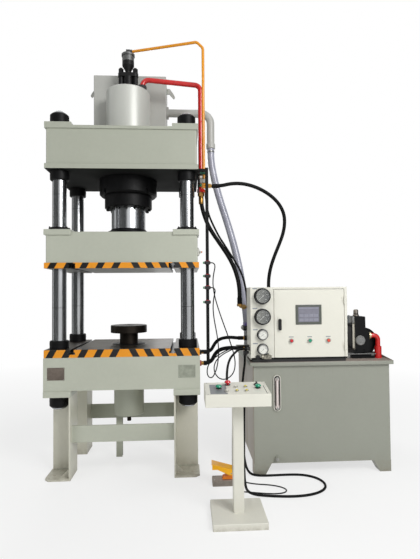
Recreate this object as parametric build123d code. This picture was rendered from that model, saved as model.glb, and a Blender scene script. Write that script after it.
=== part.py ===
from build123d import *
import math
import os

# Four-column hydraulic press with its power unit, two-hand console and foot pedal.
# Millimetres. The origin is on the floor under the press axis, the front is -Y and up is +Z.

# Press, side to side and front to back
plate_x = 1200.0
plate_y = 800.0
column_gap_x = 1015.0
column_gap_y = 600.0
column_d = 110.0
nut_d = 147.0
body_inset = 10.0
pad_x = 207.0
pad_y = 200.0
edge_break = 3.0

# Press levels, stacked up from the floor
leg_height = 636.0
bed_pad = 50.0
bed_body = 252.0
bed_plate = 62.0
daylight = 1412.0
ram_shown = 218.0
slide_plate = 45.0
slide_body = 242.0
slide_pad = 44.0
slide_pad_proud = 18.0
head_plate = 40.0
head_body = 278.0
head_cap = 25.0
head_pad = 25.0
nut_bed = 65.0
nut_under_head = 77.0
nut_top = 90.0
nut_bottom = 90.0
column_end = 11.0
column_dome = 31.0

# Legs and stretchers
leg_plate = 12.0
leg_inner_x = 397.0
leg_inner_y = 178.0
foot_x = 198.0
foot_t = 15.0
foot_corner = 30.0
anchor_x = 1076.0
anchor_y = 634.0
anchor_d = 22.0
stretcher_t = 15.0
stretcher_h = 130.0
stretcher_z = 275.0
stretcher_back = 51.0

# Slots, guides and running fits
slot_x = 385.0
slot_neck = 28.0
slot_wide = 48.0
slot_neck_deep = 20.0
slot_head_deep = 18.0
guide_d = 140.0
guide_flange_d = 165.0
guide_flange_t = 22.0
seat_gap = 0.2
running_gap = 0.06
bolt_gap = 0.4

# Main cylinder
barrel_d = 377.0
barrel_wall = 38.5
piston_step = 5.0
barrel_top = 435.0
barrel_end_wall = 40.0
barrel_tail = 142.0
collar_step = 33.5
collar_t = 25.0
lock_nut_step = 56.5
gland_step = 13.0
gland_t = 105.0
piston_t = 210.0
piston_rise = 418.0
ram_flange_step = 40.0
ram_flange_t = 30.0

# Prefill valve and fill tank on the crown
valve_d = 176.0
valve_flange = 30.0
valve_post_d = 45.0
valve_post_x = 62.0
valve_post_h = 112.0
valve_bar = 35.0
valve_core_d = 82.0
valve_top_d = 103.0
valve_top_h = 107.0
neck_d = 90.0
fill_x = 650.0
fill_y0 = 120.0
fill_y1 = 400.0
fill_h = 650.0
fill_gap = 7.0
outlet_d = 72.0
outlet_reach = 410.0
outlet_rise = 365.0
outlet_drop = 333.0

# Rigid pipes
pressure_pipe_d = 43.0
pressure_pipe_y = -82.0
pipe_off_x = 30.0
pilot_pipe_d = 24.0
pilot_pipe_y = -220.0
pilot_off_x = 50.0

# Sensor bar and sensors
bar_w = 25.0
bar_off_x = 70.0
bar_y = -300.0
bar_z0 = 860.0
sensor_levels = (1357.0, 1473.0, 1566.0, 1673.0)
sensor_d = 18.0
striker_rise = 130.0
sensing_gap = 6.0

# Ejector
disc_d = 308.0
disc_t = 62.0
disc_lift = 98.0
stem_d = 155.0
ejector_bore_d = 200.0
ejector_d = 253.0
ejector_len = 282.0
ejector_flange_d = 326.0
ejector_flange_t = 25.0
ejector_ring_d = 280.0
ejector_ring_t = 20.0
tail_d = 35.0
guide_z0 = 40.0
port_y = -100.0
port_upper = 72.0
port_lower = 164.0

# Power unit
tank_x0 = 1019.0
tank_x = 1100.0
tank_y0 = -405.0
tank_y = 1000.0
tank_z0 = 90.0
tank_top = 851.0
tank_wall = 8.0
foot_base = 90.0
foot_head = 140.0
lid_over = 25.0
lid_t = 30.0
rim_w = 20.0
rim_h = 24.0
cabinet_x0 = 1000.0
cabinet_x = 778.0
cabinet_y0 = -418.0
cabinet_y = 212.0
cabinet_z = 566.0
cabinet_wall = 3.0
door_x0 = 1189.0
door_x = 564.0
door_drop = 18.0
door_foot = 7.0
door_t = 18.0
door_gap = 3.0
hinge_d = 14.0
hinge_pin_d = 6.0
screen_x = 207.0
screen_z = 156.0
screen_in = 275.5
screen_up = 347.0
button_d = 24.0
button_up = 143.0
buttons_in = (134.0, 282.0, 431.0)
handle_in = 44.0
handle_up = 303.0
knob_in = 51.0
knob_up = 21.0
gauge_d = 122.0
gauge_t = 46.0
small_gauge_d = 82.0
small_gauge_t = 34.0
gauge_in = 94.5
gauge_levels = (496.0, 334.0)
small_gauge_levels = (194.0, 80.0)
motor_d = 250.0
motor_len = 400.0
motor_x = 1985.0
motor_y0 = 60.0
bell_len = 122.0
shaft_rise = 130.0
shaft_d = 38.0
rotor_d = 150.0
pump_y0 = -296.0
pump_head_left = 102.0
pump_head_right = 20.0
pump_head_h = 344.0
pump_shoulder = 211.0
elbow_x = 99.0
elbow_up = 186.0
manifold_in = 4.0
manifold_x = 285.0
manifold_y0 = -190.0
manifold_y = 200.0
manifold_lift = 25.0
manifold_h = 185.0
riser_in = 252.0
riser_y = -90.0
riser_h = 124.0
red_line_y = -175.0
red_line_up = 220.0
red_line_end = -55.0
red_line_start = 60.0

# Console and pedal
base_x = 339.0
base_y = 340.0
base_t = 40.0
base_mid_x = 818.5
base_lap = 1.0
pole_w = 68.0
pole_x = 823.0
pole_back = 171.0
box_x = 402.0
box_y = 250.0
box_z0 = 735.0
box_front_h = 77.0
box_rear_h = 103.0
box_front = -1211.0
palm_d = 40.0
palm_rise = 22.0
palm_gap_x = 248.0
palm_back = 115.0
estop_d = 40.0
estop_rise = 26.0
small_d = 22.0
pedal_x0 = 683.0
pedal_x = 155.0
pedal_y0 = -585.0
pedal_y = 96.0
pedal_base_h = 44.0

# Levels and places that follow from the sizes above
bed_z0 = leg_height
base_front = box_front - base_lap
pole_y = box_front + pole_back
bed_top = leg_height + bed_pad + bed_body + bed_plate
head_z0 = bed_top + daylight
head_top = head_z0 + head_plate + head_body + head_cap
head_pad_top = head_top + head_pad
bore_d = barrel_d - 2 * barrel_wall
ram_d = bore_d - 2 * piston_step
collar_d = barrel_d + 2 * collar_step
lock_nut_d = barrel_d + 2 * lock_nut_step
gland_d = barrel_d + 2 * gland_step
ram_flange_d = ram_d + 2 * ram_flange_step
barrel_z0 = head_z0 - barrel_tail
barrel_z1 = head_top + barrel_top
gland_z0 = barrel_z0 - gland_t
slide_body_top = gland_z0 - ram_shown - ram_flange_t
slide_z0 = slide_body_top - slide_body - slide_plate
slide_top = slide_body_top + slide_pad_proud
outlet_z = head_top + outlet_rise
half_x = plate_x / 2
half_y = plate_y / 2
lid_z1 = tank_top + lid_t
rim_top = lid_z1 + rim_h
cabinet_top = rim_top + cabinet_z
screen_mid_x = door_x0 + screen_in
screen_mid_z = rim_top + screen_up
column_places = [(sx * column_gap_x / 2, sy * column_gap_y / 2) for sx in (-1, 1) for sy in (-1, 1)]


def save(shape, node):
    """Write one piece to its file, named so that it reads well in another program."""
    shape.label = node
    export_step(shape, f"parts/{node}.step")


def block(x0, x1, y0, y1, z0, z1):
    """A box between two corners."""
    return Pos((x0 + x1) / 2, (y0 + y1) / 2, (z0 + z1) / 2) * Box(x1 - x0, y1 - y0, z1 - z0)


def rod(x, y, z0, z1, d):
    """An upright round bar."""
    return Pos(x, y, (z0 + z1) / 2) * Cylinder(d / 2, z1 - z0)


def rod_x(y, z, x0, x1, d):
    """A round bar along X."""
    return Pos((x0 + x1) / 2, y, z) * Rot(0, 90, 0) * Cylinder(d / 2, x1 - x0)


def rod_y(x, z, y0, y1, d):
    """A round bar along Y."""
    return Pos(x, (y0 + y1) / 2, z) * Rot(90, 0, 0) * Cylinder(d / 2, y1 - y0)


def turned(points, x=0.0, y=0.0, z=0.0):
    """A turned piece from its half section, given as radius and height."""
    section = make_face(Plane.XZ * Polyline(*points, close=True))
    return Pos(x, y, z) * revolve(section, Axis.Z)


def hexagon(x, y, z0, z1, across):
    """An upright hexagon bar, measured across its flats."""
    return Pos(x, y, z0) * extrude(RegularPolygon(across / 2, 6, major_radius=False), z1 - z0)


def hex_x(y, z, x0, x1, across):
    """A hexagon bar along X."""
    outline = Plane(origin=(x0, y, z), x_dir=(0, 1, 0), z_dir=(1, 0, 0)) * RegularPolygon(
        across / 2, 6, major_radius=False)
    return extrude(outline, x1 - x0)


def prism_y(points, y0, y1):
    """A piece with the same outline all along Y, given as X and Z."""
    face = make_face(Plane.XZ * Polyline(*points, close=True))
    return Pos(0, y0, 0) * extrude(face, y1 - y0, dir=(0, 1, 0))


def bent_pipe(points, d, bend):
    """A pipe along straight runs joined by tangent bends of one radius."""
    path = FilletPolyline(*points, radius=bend)
    start = path @ 0
    section = Plane(origin=start, z_dir=path % 0) * Circle(d / 2)
    return sweep(section, path=path)


def cord(points, d, name):
    """A cord along its hand-chosen points, each bend as large as its two runs allow."""
    places = [Vector(*p) for p in points]
    radii = []
    for before, here, after in zip(places, places[1:], places[2:]):
        turn = math.radians((here - before).get_angle(after - here))
        run = min((here - before).length, (after - here).length)
        radii.append(0.45 * run / math.tan(turn / 2))
    path = FilletPolyline(*points, radius=radii)
    section = Plane(origin=path @ 0, z_dir=path % 0) * Circle(d / 2)
    solid = sweep(section, path=path)
    expected = math.pi * d * d / 4 * path.length
    print(name, "length", round(path.length), "volume ratio", round(solid.volume / expected, 4),
          "radii", [round(r) for r in radii])
    return solid


def eased(x, y, z0, z1, corner, edge):
    """A plate centred on the press axis, with rounded upright corners and broken top edges."""
    plate = extrude(Pos(0, 0, z0) * RectangleRounded(x, y, corner), z1 - z0)
    return chamfer(plate.faces().sort_by(Axis.Z)[-1].edges(), edge)


def corner_pads(z0, z1, grow=0.0):
    """The four pads round the column holes, flush with the plate or a little proud."""
    pads = []
    for sx in (-1, 1):
        for sy in (-1, 1):
            x1 = half_x + grow
            y1 = half_y + grow
            pad = block(x1 - pad_x, x1, y1 - pad_y, y1, z0, z1)
            pad = chamfer(pad.faces().sort_by(Axis.Z)[-1].edges(), edge_break)
            pads.append(pad if (sx, sy) == (1, 1) else mirror_to(pad, sx, sy))
    return pads


def mirror_to(shape, sx, sy):
    """The same shape in another quarter of the press."""
    if sx < 0:
        shape = mirror(shape, about=Plane.YZ)
    if sy < 0:
        shape = mirror(shape, about=Plane.XZ)
    return shape


def tee_slot(z_face, up):
    """One slot along Y, cut into a face that looks up or down."""
    neck_z = z_face - up * slot_neck_deep
    head_z = neck_z - up * slot_head_deep
    over = 5.0
    neck = block(-slot_neck / 2, slot_neck / 2, -half_y - over, half_y + over,
                 min(z_face + up * over, neck_z), max(z_face + up * over, neck_z))
    head = block(-slot_wide / 2, slot_wide / 2, -half_y - over, half_y + over,
                 min(neck_z, head_z), max(neck_z, head_z))
    return neck + head


def socket_heads(d, count, z0, z1, head_d, start=0.0):
    """Upright bolt heads on a circle."""
    return [rod(d / 2 * math.cos(math.radians(start + 360 / count * i)),
                d / 2 * math.sin(math.radians(start + 360 / count * i)), z0, z1, head_d)
            for i in range(count)]


def bed():
    body = eased(plate_x - 2 * body_inset, plate_y - 2 * body_inset, bed_z0 + bed_pad,
                 bed_top - bed_plate + edge_break, 12, edge_break)
    top = eased(plate_x, plate_y, bed_top - bed_plate, bed_top, 4, edge_break)
    shape = body + top
    for pad in corner_pads(bed_z0, bed_top - bed_plate, 2.0):
        shape += pad
    for sx in (-1, 1):
        shape -= Pos(sx * slot_x, 0, 0) * tee_slot(bed_top, 1)
    for x, y in column_places:
        shape -= rod(x, y, bed_z0 - 5, bed_top + 5, column_d + 2 * seat_gap)
    shape -= rod(0, 0, bed_z0, bed_top + 5, stem_d + 8)
    shape -= rod(0, 0, bed_top - ejector_ring_t, bed_top + 5, ejector_ring_d + 2 * seat_gap)
    for drop in (port_upper, port_lower):
        shape += rod_x(port_y, bed_top - drop, half_x - body_inset - 5, half_x + 2, 46)
    return Compound(children=[shape, *bed_ports()])


def leg_frame(front):
    """Two legs of angle section on their feet, with the stretcher between them."""
    y_out = half_y + 1.0
    inner = block(leg_inner_x, leg_inner_x + leg_plate, leg_inner_y, y_out, 0, leg_height)
    cross = block(leg_inner_x, half_x - 14, leg_inner_y, leg_inner_y + leg_plate, 0, leg_height)
    foot = block(leg_inner_x, leg_inner_x + foot_x, leg_inner_y, y_out, 0, foot_t)
    outer = foot.edges().filter_by(Axis.Z).sort_by(lambda e: e.center().X + e.center().Y)[-1]
    foot = chamfer(outer, foot_corner)
    foot -= rod(anchor_x / 2, anchor_y / 2, -5, foot_t + 5, anchor_d)
    brace_x = leg_inner_x + leg_plate
    gusset = prism_y([(brace_x, foot_t), (brace_x + 70, foot_t), (brace_x, foot_t + 70)],
                     y_out - 70, y_out - 60)
    leg = inner + cross + foot + gusset
    weld = 6.0
    seam = Pos(leg_inner_x, y_out - stretcher_back, stretcher_z)
    stretcher = block(-leg_inner_x - weld / 6, leg_inner_x + weld / 6, y_out - stretcher_back - stretcher_t,
                      y_out - stretcher_back, stretcher_z, stretcher_z + stretcher_h)
    stretcher = fillet(stretcher.edges().filter_by(Axis.X), 2.0)
    bead = seam * block(-weld, 0, 0, weld, 0, stretcher_h)
    corner = bead.edges().filter_by(Axis.Z).sort_by(lambda e: e.center().Y - e.center().X)[-1]
    bead = chamfer(corner, weld - 1)
    shape = leg + mirror(leg, about=Plane.YZ) + stretcher + bead + mirror(bead, about=Plane.YZ)
    return shape if not front else mirror(shape, about=Plane.XZ)


def columns():
    """Four chromed columns, with a crowned top end and a chamfered bottom end."""
    z0 = bed_z0 - nut_bottom - column_end
    z1 = head_pad_top + nut_top
    r = column_d / 2
    ease = 4.0
    rise = column_dome - ease
    crown = ((r - ease) ** 2 + rise ** 2) / (2 * rise)
    one = turned([(0, z0), (r - ease, z0), (r, z0 + ease), (r, z1), (r - ease, z1 + ease), (0, z1 + ease)])
    cap = Pos(0, 0, z1 + column_dome - crown) * Sphere(crown)
    cap = cap & rod(0, 0, z1 + ease, z1 + column_dome + 5, 2 * (r - ease) + 10)
    one = one + cap
    return Compound(children=[Pos(x, y, 0) * one for x, y in column_places])


def column_nuts():
    """Round nuts above and below the bed and the crosshead, on every column."""
    r0 = column_d / 2 + seat_gap
    r1 = nut_d / 2
    ease = 6.0

    def nut(z0, z1, low, high):
        return turned([(r0, z0), (r1 - low, z0), (r1, z0 + low), (r1, z1 - high), (r1 - high, z1), (r0, z1)])

    stack = [nut(bed_z0 - nut_bottom, bed_z0, ease * 2, 1.5),
             nut(bed_top, bed_top + nut_bed, 1.5, ease),
             nut(head_z0 - nut_under_head, head_z0, ease, 1.5),
             nut(head_pad_top, head_pad_top + nut_top, 1.5, ease * 2)]
    return Compound(children=[Pos(x, y, 0) * piece for x, y in column_places for piece in stack])


def crosshead():
    body_z0 = head_z0 + head_plate - edge_break
    body = eased(plate_x - 2 * body_inset, plate_y - 2 * body_inset, body_z0,
                 head_top - head_cap + edge_break, 12, edge_break)
    shape = body + eased(plate_x, plate_y, head_z0, head_z0 + head_plate, 4, edge_break)
    shape += eased(plate_x, plate_y, head_top - head_cap, head_top, 4, edge_break)
    for pad in corner_pads(head_top - edge_break, head_pad_top):
        shape += pad
    for x, y in column_places:
        shape -= rod(x, y, head_z0 - 5, head_pad_top + 5, column_d + 2 * seat_gap)
    return shape - rod(0, 0, head_z0 - 5, head_top + 5, barrel_d + 2 * seat_gap)


def slide():
    body = eased(plate_x - 2 * body_inset, plate_y - 2 * body_inset, slide_z0 + slide_plate - edge_break,
                 slide_body_top, 12, edge_break)
    shape = body + eased(plate_x, plate_y, slide_z0, slide_z0 + slide_plate, 4, edge_break)
    for pad in corner_pads(slide_top - slide_pad, slide_top, 2.0):
        shape += pad
    for sx in (-1, 1):
        shape -= Pos(sx * slot_x, 0, 0) * tee_slot(slide_z0, -1)
    for x, y in column_places:
        shape -= rod(x, y, slide_z0 - 5, slide_top + 5, guide_d + 2 * seat_gap)
    return shape


def guide_bushings():
    """Flanged guide bushes that run on the columns."""
    r0 = column_d / 2 + running_gap
    r1 = guide_d / 2
    r2 = guide_flange_d / 2
    z2 = slide_top + guide_flange_t
    one = turned([(r0, slide_z0 + 5), (r1, slide_z0 + 5), (r1, slide_top), (r2, slide_top),
                  (r2, z2 - 3), (r2 - 3, z2), (r0, z2)])
    heads = 6
    for i in range(heads):
        a = math.radians(360 / heads * i + 30)
        reach = (r1 + r2) / 2 + 1
        one += rod(reach * math.cos(a), reach * math.sin(a), z2 - 1, z2 + 6, 10)
    return Compound(children=[Pos(x, y, 0) * one for x, y in column_places])


def ram():
    """Chromed ram with its piston above and its bolted flange below, turned as one piece."""
    z1 = barrel_z0 + piston_rise
    z2 = z1 + piston_t
    r = ram_d / 2
    rp = bore_d / 2 - running_gap
    groove = 4.0
    zf = slide_body_top + ram_flange_t
    shape = turned([(0, slide_body_top), (ram_flange_d / 2, slide_body_top), (ram_flange_d / 2, zf - 3),
                    (ram_flange_d / 2 - 3, zf), (r, zf), (r, z1), (rp - groove, z1), (rp, z1 + groove),
                    (rp, z1 + 60), (rp - groove, z1 + 60), (rp - groove, z1 + 75), (rp, z1 + 75),
                    (rp, z2 - groove), (rp - groove, z2), (0, z2)])
    for head in socket_heads((ram_d + ram_flange_d) / 2, 8, zf - 1, zf + 14, 24, 22.5):
        shape += head
    return shape


def cylinder_barrel():
    """Barrel that hangs in the crosshead on its collar, closed at the top and ported."""
    r0 = bore_d / 2
    r1 = barrel_d / 2
    rc = collar_d / 2
    z0 = barrel_z0
    z1 = barrel_z1
    shape = turned([(r0, z0), (r1, z0), (r1, head_top), (rc, head_top), (rc, head_top + collar_t - 3),
                    (rc - 3, head_top + collar_t), (r1, head_top + collar_t), (r1, z1 - 8), (r1 - 8, z1),
                    (0, z1), (0, z1 - barrel_end_wall), (r0, z1 - barrel_end_wall)])
    shape -= rod(0, 0, z1 - barrel_end_wall - 5, z1 + 5, 60)
    z2 = head_top + collar_t
    for head in socket_heads((barrel_d + collar_d) / 2, 12, z2 - 1, z2 + 14, 22, 15):
        shape += head
    return shape


def cylinder_locknut():
    """Large round nut that clamps the barrel to the crosshead from below."""
    r0 = barrel_d / 2 + seat_gap
    r1 = lock_nut_d / 2
    z0 = barrel_z0
    shape = turned([(r0, z0), (r1 - 14, z0), (r1, z0 + 14), (r1, head_z0 - 4), (r1 - 4, head_z0),
                    (r0, head_z0)])
    for i in range(4):
        shape -= Rot(0, 0, 45 + 90 * i) * block(r1 - 12, r1 + 5, -12, 12, z0 - 5, z0 + 45)
    return shape


def gland_rings():
    """Gland of the main ram, and the ring that guides the ejector stem in the bed."""
    r0 = ram_d / 2 + running_gap
    r1 = gland_d / 2
    main = turned([(r0, gland_z0), (r1 - 5, gland_z0), (r1, gland_z0 + 5), (r1, barrel_z0), (r0, barrel_z0)])
    for head in socket_heads(ram_d + 66, 12, gland_z0 - 15, gland_z0 + 1, 26):
        main += head
    r2 = stem_d / 2 + running_gap
    r3 = ejector_ring_d / 2
    ring = turned([(r2, bed_top - ejector_ring_t), (r3, bed_top - ejector_ring_t), (r3, bed_top + 2),
                   (r3 - 2, bed_top + 4), (r2 + 2, bed_top + 4), (r2, bed_top + 2)])
    for hole in socket_heads((stem_d + ejector_ring_d) / 2, 8, bed_top - 4, bed_top + 10, 16, 22.5):
        ring -= hole
    return Compound(children=[main, ring])


def prefill_valve():
    """Prefill valve: bolted flange, two posts, cross bar and its pilot cylinder on top."""
    z0 = barrel_z1
    z1 = z0 + valve_flange
    z2 = z1 + valve_post_h
    z3 = z2 + valve_bar
    shape = turned([(0, z0), (valve_d / 2, z0), (valve_d / 2, z1 - 4), (valve_d / 2 - 4, z1), (0, z1)])
    core = valve_core_d / 2
    shape += turned([(0, z1), (core + 12, z1), (core, z1 + 16), (core, z2), (0, z2)])
    bar = extrude(Pos(0, 0, z2) * SlotOverall(valve_d, 62), valve_bar)
    shape += chamfer(bar.faces().sort_by(Axis.Z)[-1].edges(), 3)
    for sx in (-1, 1):
        shape += rod(sx * valve_post_x, 0, z1, z2, valve_post_d)
        shape += hexagon(sx * valve_post_x, 0, z3, z3 + 38, 38)
    r = valve_top_d / 2
    z4 = z3 + 64
    z5 = z4 + valve_top_h
    shape += turned([(0, z3), (24, z3), (24, z3 + 14), (r, z4), (r, z5 - 22), (r + 6, z5 - 22),
                     (r + 6, z5 - 4), (r + 2, z5), (0, z5)])
    return shape


def fill_tank():
    """Fill tank behind the barrel, hollowed to clear it, with its outlet pipe, neck and lifting hooks."""
    z0 = head_top
    z1 = head_top + fill_h
    x1 = fill_x / 2
    wrap = barrel_d / 2 + fill_gap
    outline = Pos(0, (fill_y0 + fill_y1) / 2, z0) * RectangleRounded(fill_x, fill_y1 - fill_y0, 10)
    shell = extrude(outline, z1 - z0)
    shell -= rod(0, 0, z0 - 5, barrel_z1 + fill_gap, 2 * wrap)
    shell -= rod(0, 0, z0 - 5, z0 + collar_t + 20, collar_d + 2 * fill_gap)
    neck_z = barrel_z1 + valve_flange + valve_post_h / 2 + 6
    neck = rod_y(0, neck_z, valve_core_d / 2 - 6, fill_y0 + 1, neck_d)
    neck -= rod(0, 0, barrel_z1, z1, valve_core_d + 2 * bolt_gap)
    shape = shell + neck
    shape += rod_y(0, neck_z, fill_y0 - 14, fill_y0 + 1, neck_d + 36)
    outlet_y = fill_y1 - 150
    shape += bent_pipe([(x1 - 20, outlet_y, outlet_z), (x1 + outlet_reach, outlet_y, outlet_z),
                        (x1 + outlet_reach, outlet_y, outlet_z - outlet_drop)], outlet_d, 95)
    shape += rod_x(outlet_y, outlet_z, x1 - 1, x1 + 18, outlet_d + 40)
    tail_z = outlet_z - outlet_drop
    shape += turned([(0, tail_z), (40, tail_z), (42, tail_z + 6), (42, tail_z + 42), (40, tail_z + 48),
                     (0, tail_z + 48)], x1 + outlet_reach, outlet_y, 0)
    hook = [(-2, -4), (26, -4), (64, -60), (76, -86), (64, -102), (49, -86), (21, -55), (-2, -55)]
    lug = prism_y([(x1 + dx, z1 + dz) for dx, dz in hook], outlet_y + 104, outlet_y + 120)
    shape += lug
    shape += mirror(lug, about=Plane.YZ)
    return shape


def pressure_pipe():
    """Red pressure line, from its flange on the barrel over the side and down to the hose nuts."""
    x0 = barrel_d / 2 - 56
    x1 = half_x + pipe_off_x
    z0 = barrel_z1
    end = head_z0 - 82
    y = pressure_pipe_y
    line = [(x0, y, z0 + 10), (x0, y, z0 + 86), (x1, y, z0 + 42), (x1, y, end)]
    shape = bent_pipe(line, pressure_pipe_d, 52)
    shape += block(x0 - 34, x0 + 34, y - 26, y + 26, z0, z0 + 24)
    for sx in (-1, 1):
        shape += rod(x0 + sx * 25, y + 15 * sx, z0 + 24, z0 + 34, 13)
    shape += hexagon(x1, y, end - 4, end - 34, 58)
    shape += rod(x1, y, end - 36, end, 44)
    shape += hexagon(x1, y, end - 36, end - 66, 50)
    shape += rod_x(y, end - 20, x1, x1 + 53, 22)
    shape += rod(x1 + 42, y, end - 48, end - 20, 22)
    return shape


def pilot_pipe():
    """Thin yellow pilot line, from the valve's top over the side and down to its elbow."""
    z_cap = barrel_z1 + valve_flange + valve_post_h + valve_bar + 64 + valve_top_h
    x1 = half_x + pilot_off_x
    end = head_z0 - 90
    axis_z = z_cap + 19
    shape = bent_pipe([(0, 0, axis_z), (x1 - 52, pilot_pipe_y + 8, z_cap + 4), (x1, pilot_pipe_y, z_cap - 50),
                       (x1, pilot_pipe_y, end)], pilot_pipe_d, 40)
    shape += block(-17, 17, -17, 17, z_cap, axis_z + 17)
    shape += Pos(0, 0, axis_z) * Rot(0, 0, -19) * hex_x(0, 0, 15, 38, 30)
    shape += block(x1 - 17, x1 + 19, pilot_pipe_y - 17, pilot_pipe_y + 17, end - 18, end + 18)
    shape += rod_x(pilot_pipe_y, end, x1 + 18, x1 + 64, 24)
    shape += hex_x(pilot_pipe_y, end, x1 + 34, x1 + 58, 34)
    return shape


def pipe_clamps():
    """Two split clamps on the crosshead's side, and the carrier of the lower one."""
    gap = seat_gap
    x_red = half_x + pipe_off_x
    x_pilot = half_x + pilot_off_x
    shapes = []
    carrier = block(half_x, half_x + 10, pilot_pipe_y + 40, pressure_pipe_y - 40, head_z0 - 130, head_z0 + 34)
    for z in (head_z0 + 2, head_z0 - 68):
        for x, y, d in ((x_red, pressure_pipe_y, pressure_pipe_d), (x_pilot, pilot_pipe_y, pilot_pipe_d)):
            side = d / 2 + 12
            x_in = half_x if y == pressure_pipe_y else half_x + 10
            body = block(x_in, x + side, y - side, y + side, z, z + 34)
            body -= rod(x, y, z - 5, z + 39, d + 2 * gap)
            bolt_x = x + side
            body += rod_x(y + side - 7, z + 17, bolt_x - 1, bolt_x + 6, 10)
            body += rod_x(y - side + 7, z + 17, bolt_x - 1, bolt_x + 6, 10)
            shapes.append(body)
        shapes.append(block(half_x + 10, half_x + 20, pilot_pipe_y + 20, pressure_pipe_y - 30, z + 4, z + 30))
    result = carrier
    for piece in shapes:
        result += piece
    return result


def sensor_bar():
    """Square bar down the right side, held by an arm at the crosshead and one at the bed."""
    x = half_x + bar_off_x
    r = bar_w / 2
    z1 = head_z0 + 38
    shape = block(x - r, x + r, bar_y - r, bar_y + r, bar_z0, z1)
    shape = chamfer(shape.edges().filter_by(Axis.Z), 2)
    for z in (head_z0 + 8, bed_top - bed_plate + 14):
        shape += block(half_x, x, bar_y - r, bar_y + r, z, z + 20)
        shape += block(half_x, half_x + 10, bar_y - 34, bar_y + 34, z, z + 20)
        for sy in (-1, 1):
            shape += rod_x(bar_y + sy * 24, z + 10, half_x + 9, half_x + 17, 12)
    return shape


def limit_sensors():
    """Four proximity sensors in their brackets on the bar, pointing at the slide."""
    x = half_x + bar_off_x
    y = bar_y - bar_w / 2 - 16
    tip = half_x + 34
    pieces = []
    for z in sensor_levels:
        one = block(x - 16, x + 16, bar_y - bar_w / 2 - 30, bar_y - bar_w / 2, z - 16, z + 16)
        one = chamfer(one.edges().filter_by(Axis.X), 3)
        one += rod_x(y, z, tip, x + 24, sensor_d)
        one += hex_x(y, z, x - 24, x - 17, 24)
        one += hex_x(y, z, x + 16, x + 22, 24)
        one += rod_x(y, z, tip - 1, tip + 6, sensor_d - 3)
        pieces.append(one)
    return Compound(children=pieces)


def striker():
    """Trip rod on the slide's side, with its plate and brace."""
    x = half_x - body_inset
    y = bar_y - bar_w / 2 - 16
    z = slide_z0 + striker_rise
    tip = half_x + 34 - sensing_gap
    plate = block(x, x + 9, y - 24, y + 40, z - 32, z + 32)
    plate = chamfer(plate.edges().filter_by(Axis.X), 6)
    shape = plate + rod_x(y, z, x + 8, tip, 14)
    shape += hex_x(y, z, x + 9, x + 19, 22)
    for dy, dz in ((24, -20), (24, 20)):
        shape += rod_x(y + dy, z + dz, x + 8, x + 15, 12)
    return shape + prism_y([(x + 8, z - 30), (x + 28, z - 6), (x + 8, z - 6)], y - 3, y + 3)


def ejector_barrel():
    """Ejector cylinder bolted under the bed, with the channel that guides its tail rod."""
    z1 = bed_z0 + bed_pad
    z0 = z1 - ejector_len
    rb = ejector_bore_d / 2
    r1 = ejector_d / 2
    rf = ejector_flange_d / 2
    rt = tail_d / 2 + running_gap
    zf = z1 - ejector_flange_t
    shape = turned([(rt, z0), (r1 - 6, z0), (r1, z0 + 6), (r1, zf), (rf, zf), (rf, z1), (rb, z1),
                    (rb, z0 + 30), (rt, z0 + 30)])
    for head in socket_heads((ejector_d + ejector_flange_d) / 2, 10, z1 - ejector_flange_t - 14,
                             z1 - ejector_flange_t + 1, 20):
        shape += head
    channel = block(-107, -56, -22, 22, guide_z0, z0) - block(-101, -50, -16, 16, guide_z0 - 5, z0 - 12)
    return shape + channel


def ejector_rod():
    """Ejector stem with its piston below and its tail rod through the barrel's end."""
    z_bed = bed_z0 + bed_pad
    z1 = bed_top + disc_lift
    zp = z_bed - 156
    rp = ejector_bore_d / 2 - running_gap
    rt = tail_d / 2
    tail = z_bed - ejector_len - 64
    return turned([(0, tail), (rt - 2, tail), (rt, tail + 2), (rt, zp), (rp, zp), (rp, zp + 60),
                   (stem_d / 2, zp + 60), (stem_d / 2, z1), (0, z1)])


def ejector_disc():
    r = disc_d / 2
    z0 = bed_top + disc_lift
    shape = turned([(0, z0), (r - 2, z0), (r, z0 + 2), (r, z0 + disc_t - 4), (r - 4, z0 + disc_t),
                    (26, z0 + disc_t), (26, z0 + disc_t - 8), (0, z0 + disc_t - 8)])
    for hole in socket_heads(stem_d * 0.66, 4, z0 + disc_t - 14, z0 + disc_t + 5, 18, 45):
        shape -= hole
    return shape


def oil_tank():
    """Open welded tank on four tapered feet, with a stiffened rim for the lid."""
    x0, x1 = tank_x0, tank_x0 + tank_x
    y0, y1 = tank_y0, tank_y0 + tank_y
    shell = extrude(Pos((x0 + x1) / 2, (y0 + y1) / 2, tank_z0) * RectangleRounded(tank_x, tank_y, 6),
                    tank_top - tank_z0)
    shell -= block(x0 + tank_wall, x1 - tank_wall, y0 + tank_wall, y1 - tank_wall,
                   tank_z0 + tank_wall, tank_top + 5)
    foot = prism_y([(0, 0), (foot_base, 0), (foot_head, tank_z0), (0, tank_z0)], 0, foot_base)
    feet = [Pos(x0, y0, 0) * foot, Pos(x0, y1 - foot_base, 0) * foot]
    twin = mirror(foot, about=Plane.YZ)
    feet += [Pos(x1, y0, 0) * twin, Pos(x1, y1 - foot_base, 0) * twin]
    for piece in feet:
        shell += piece
    drain = rod_y(x0 + 180, tank_z0 + 40, y0 - 26, y0 + 1, 34)
    return shell + drain


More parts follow.
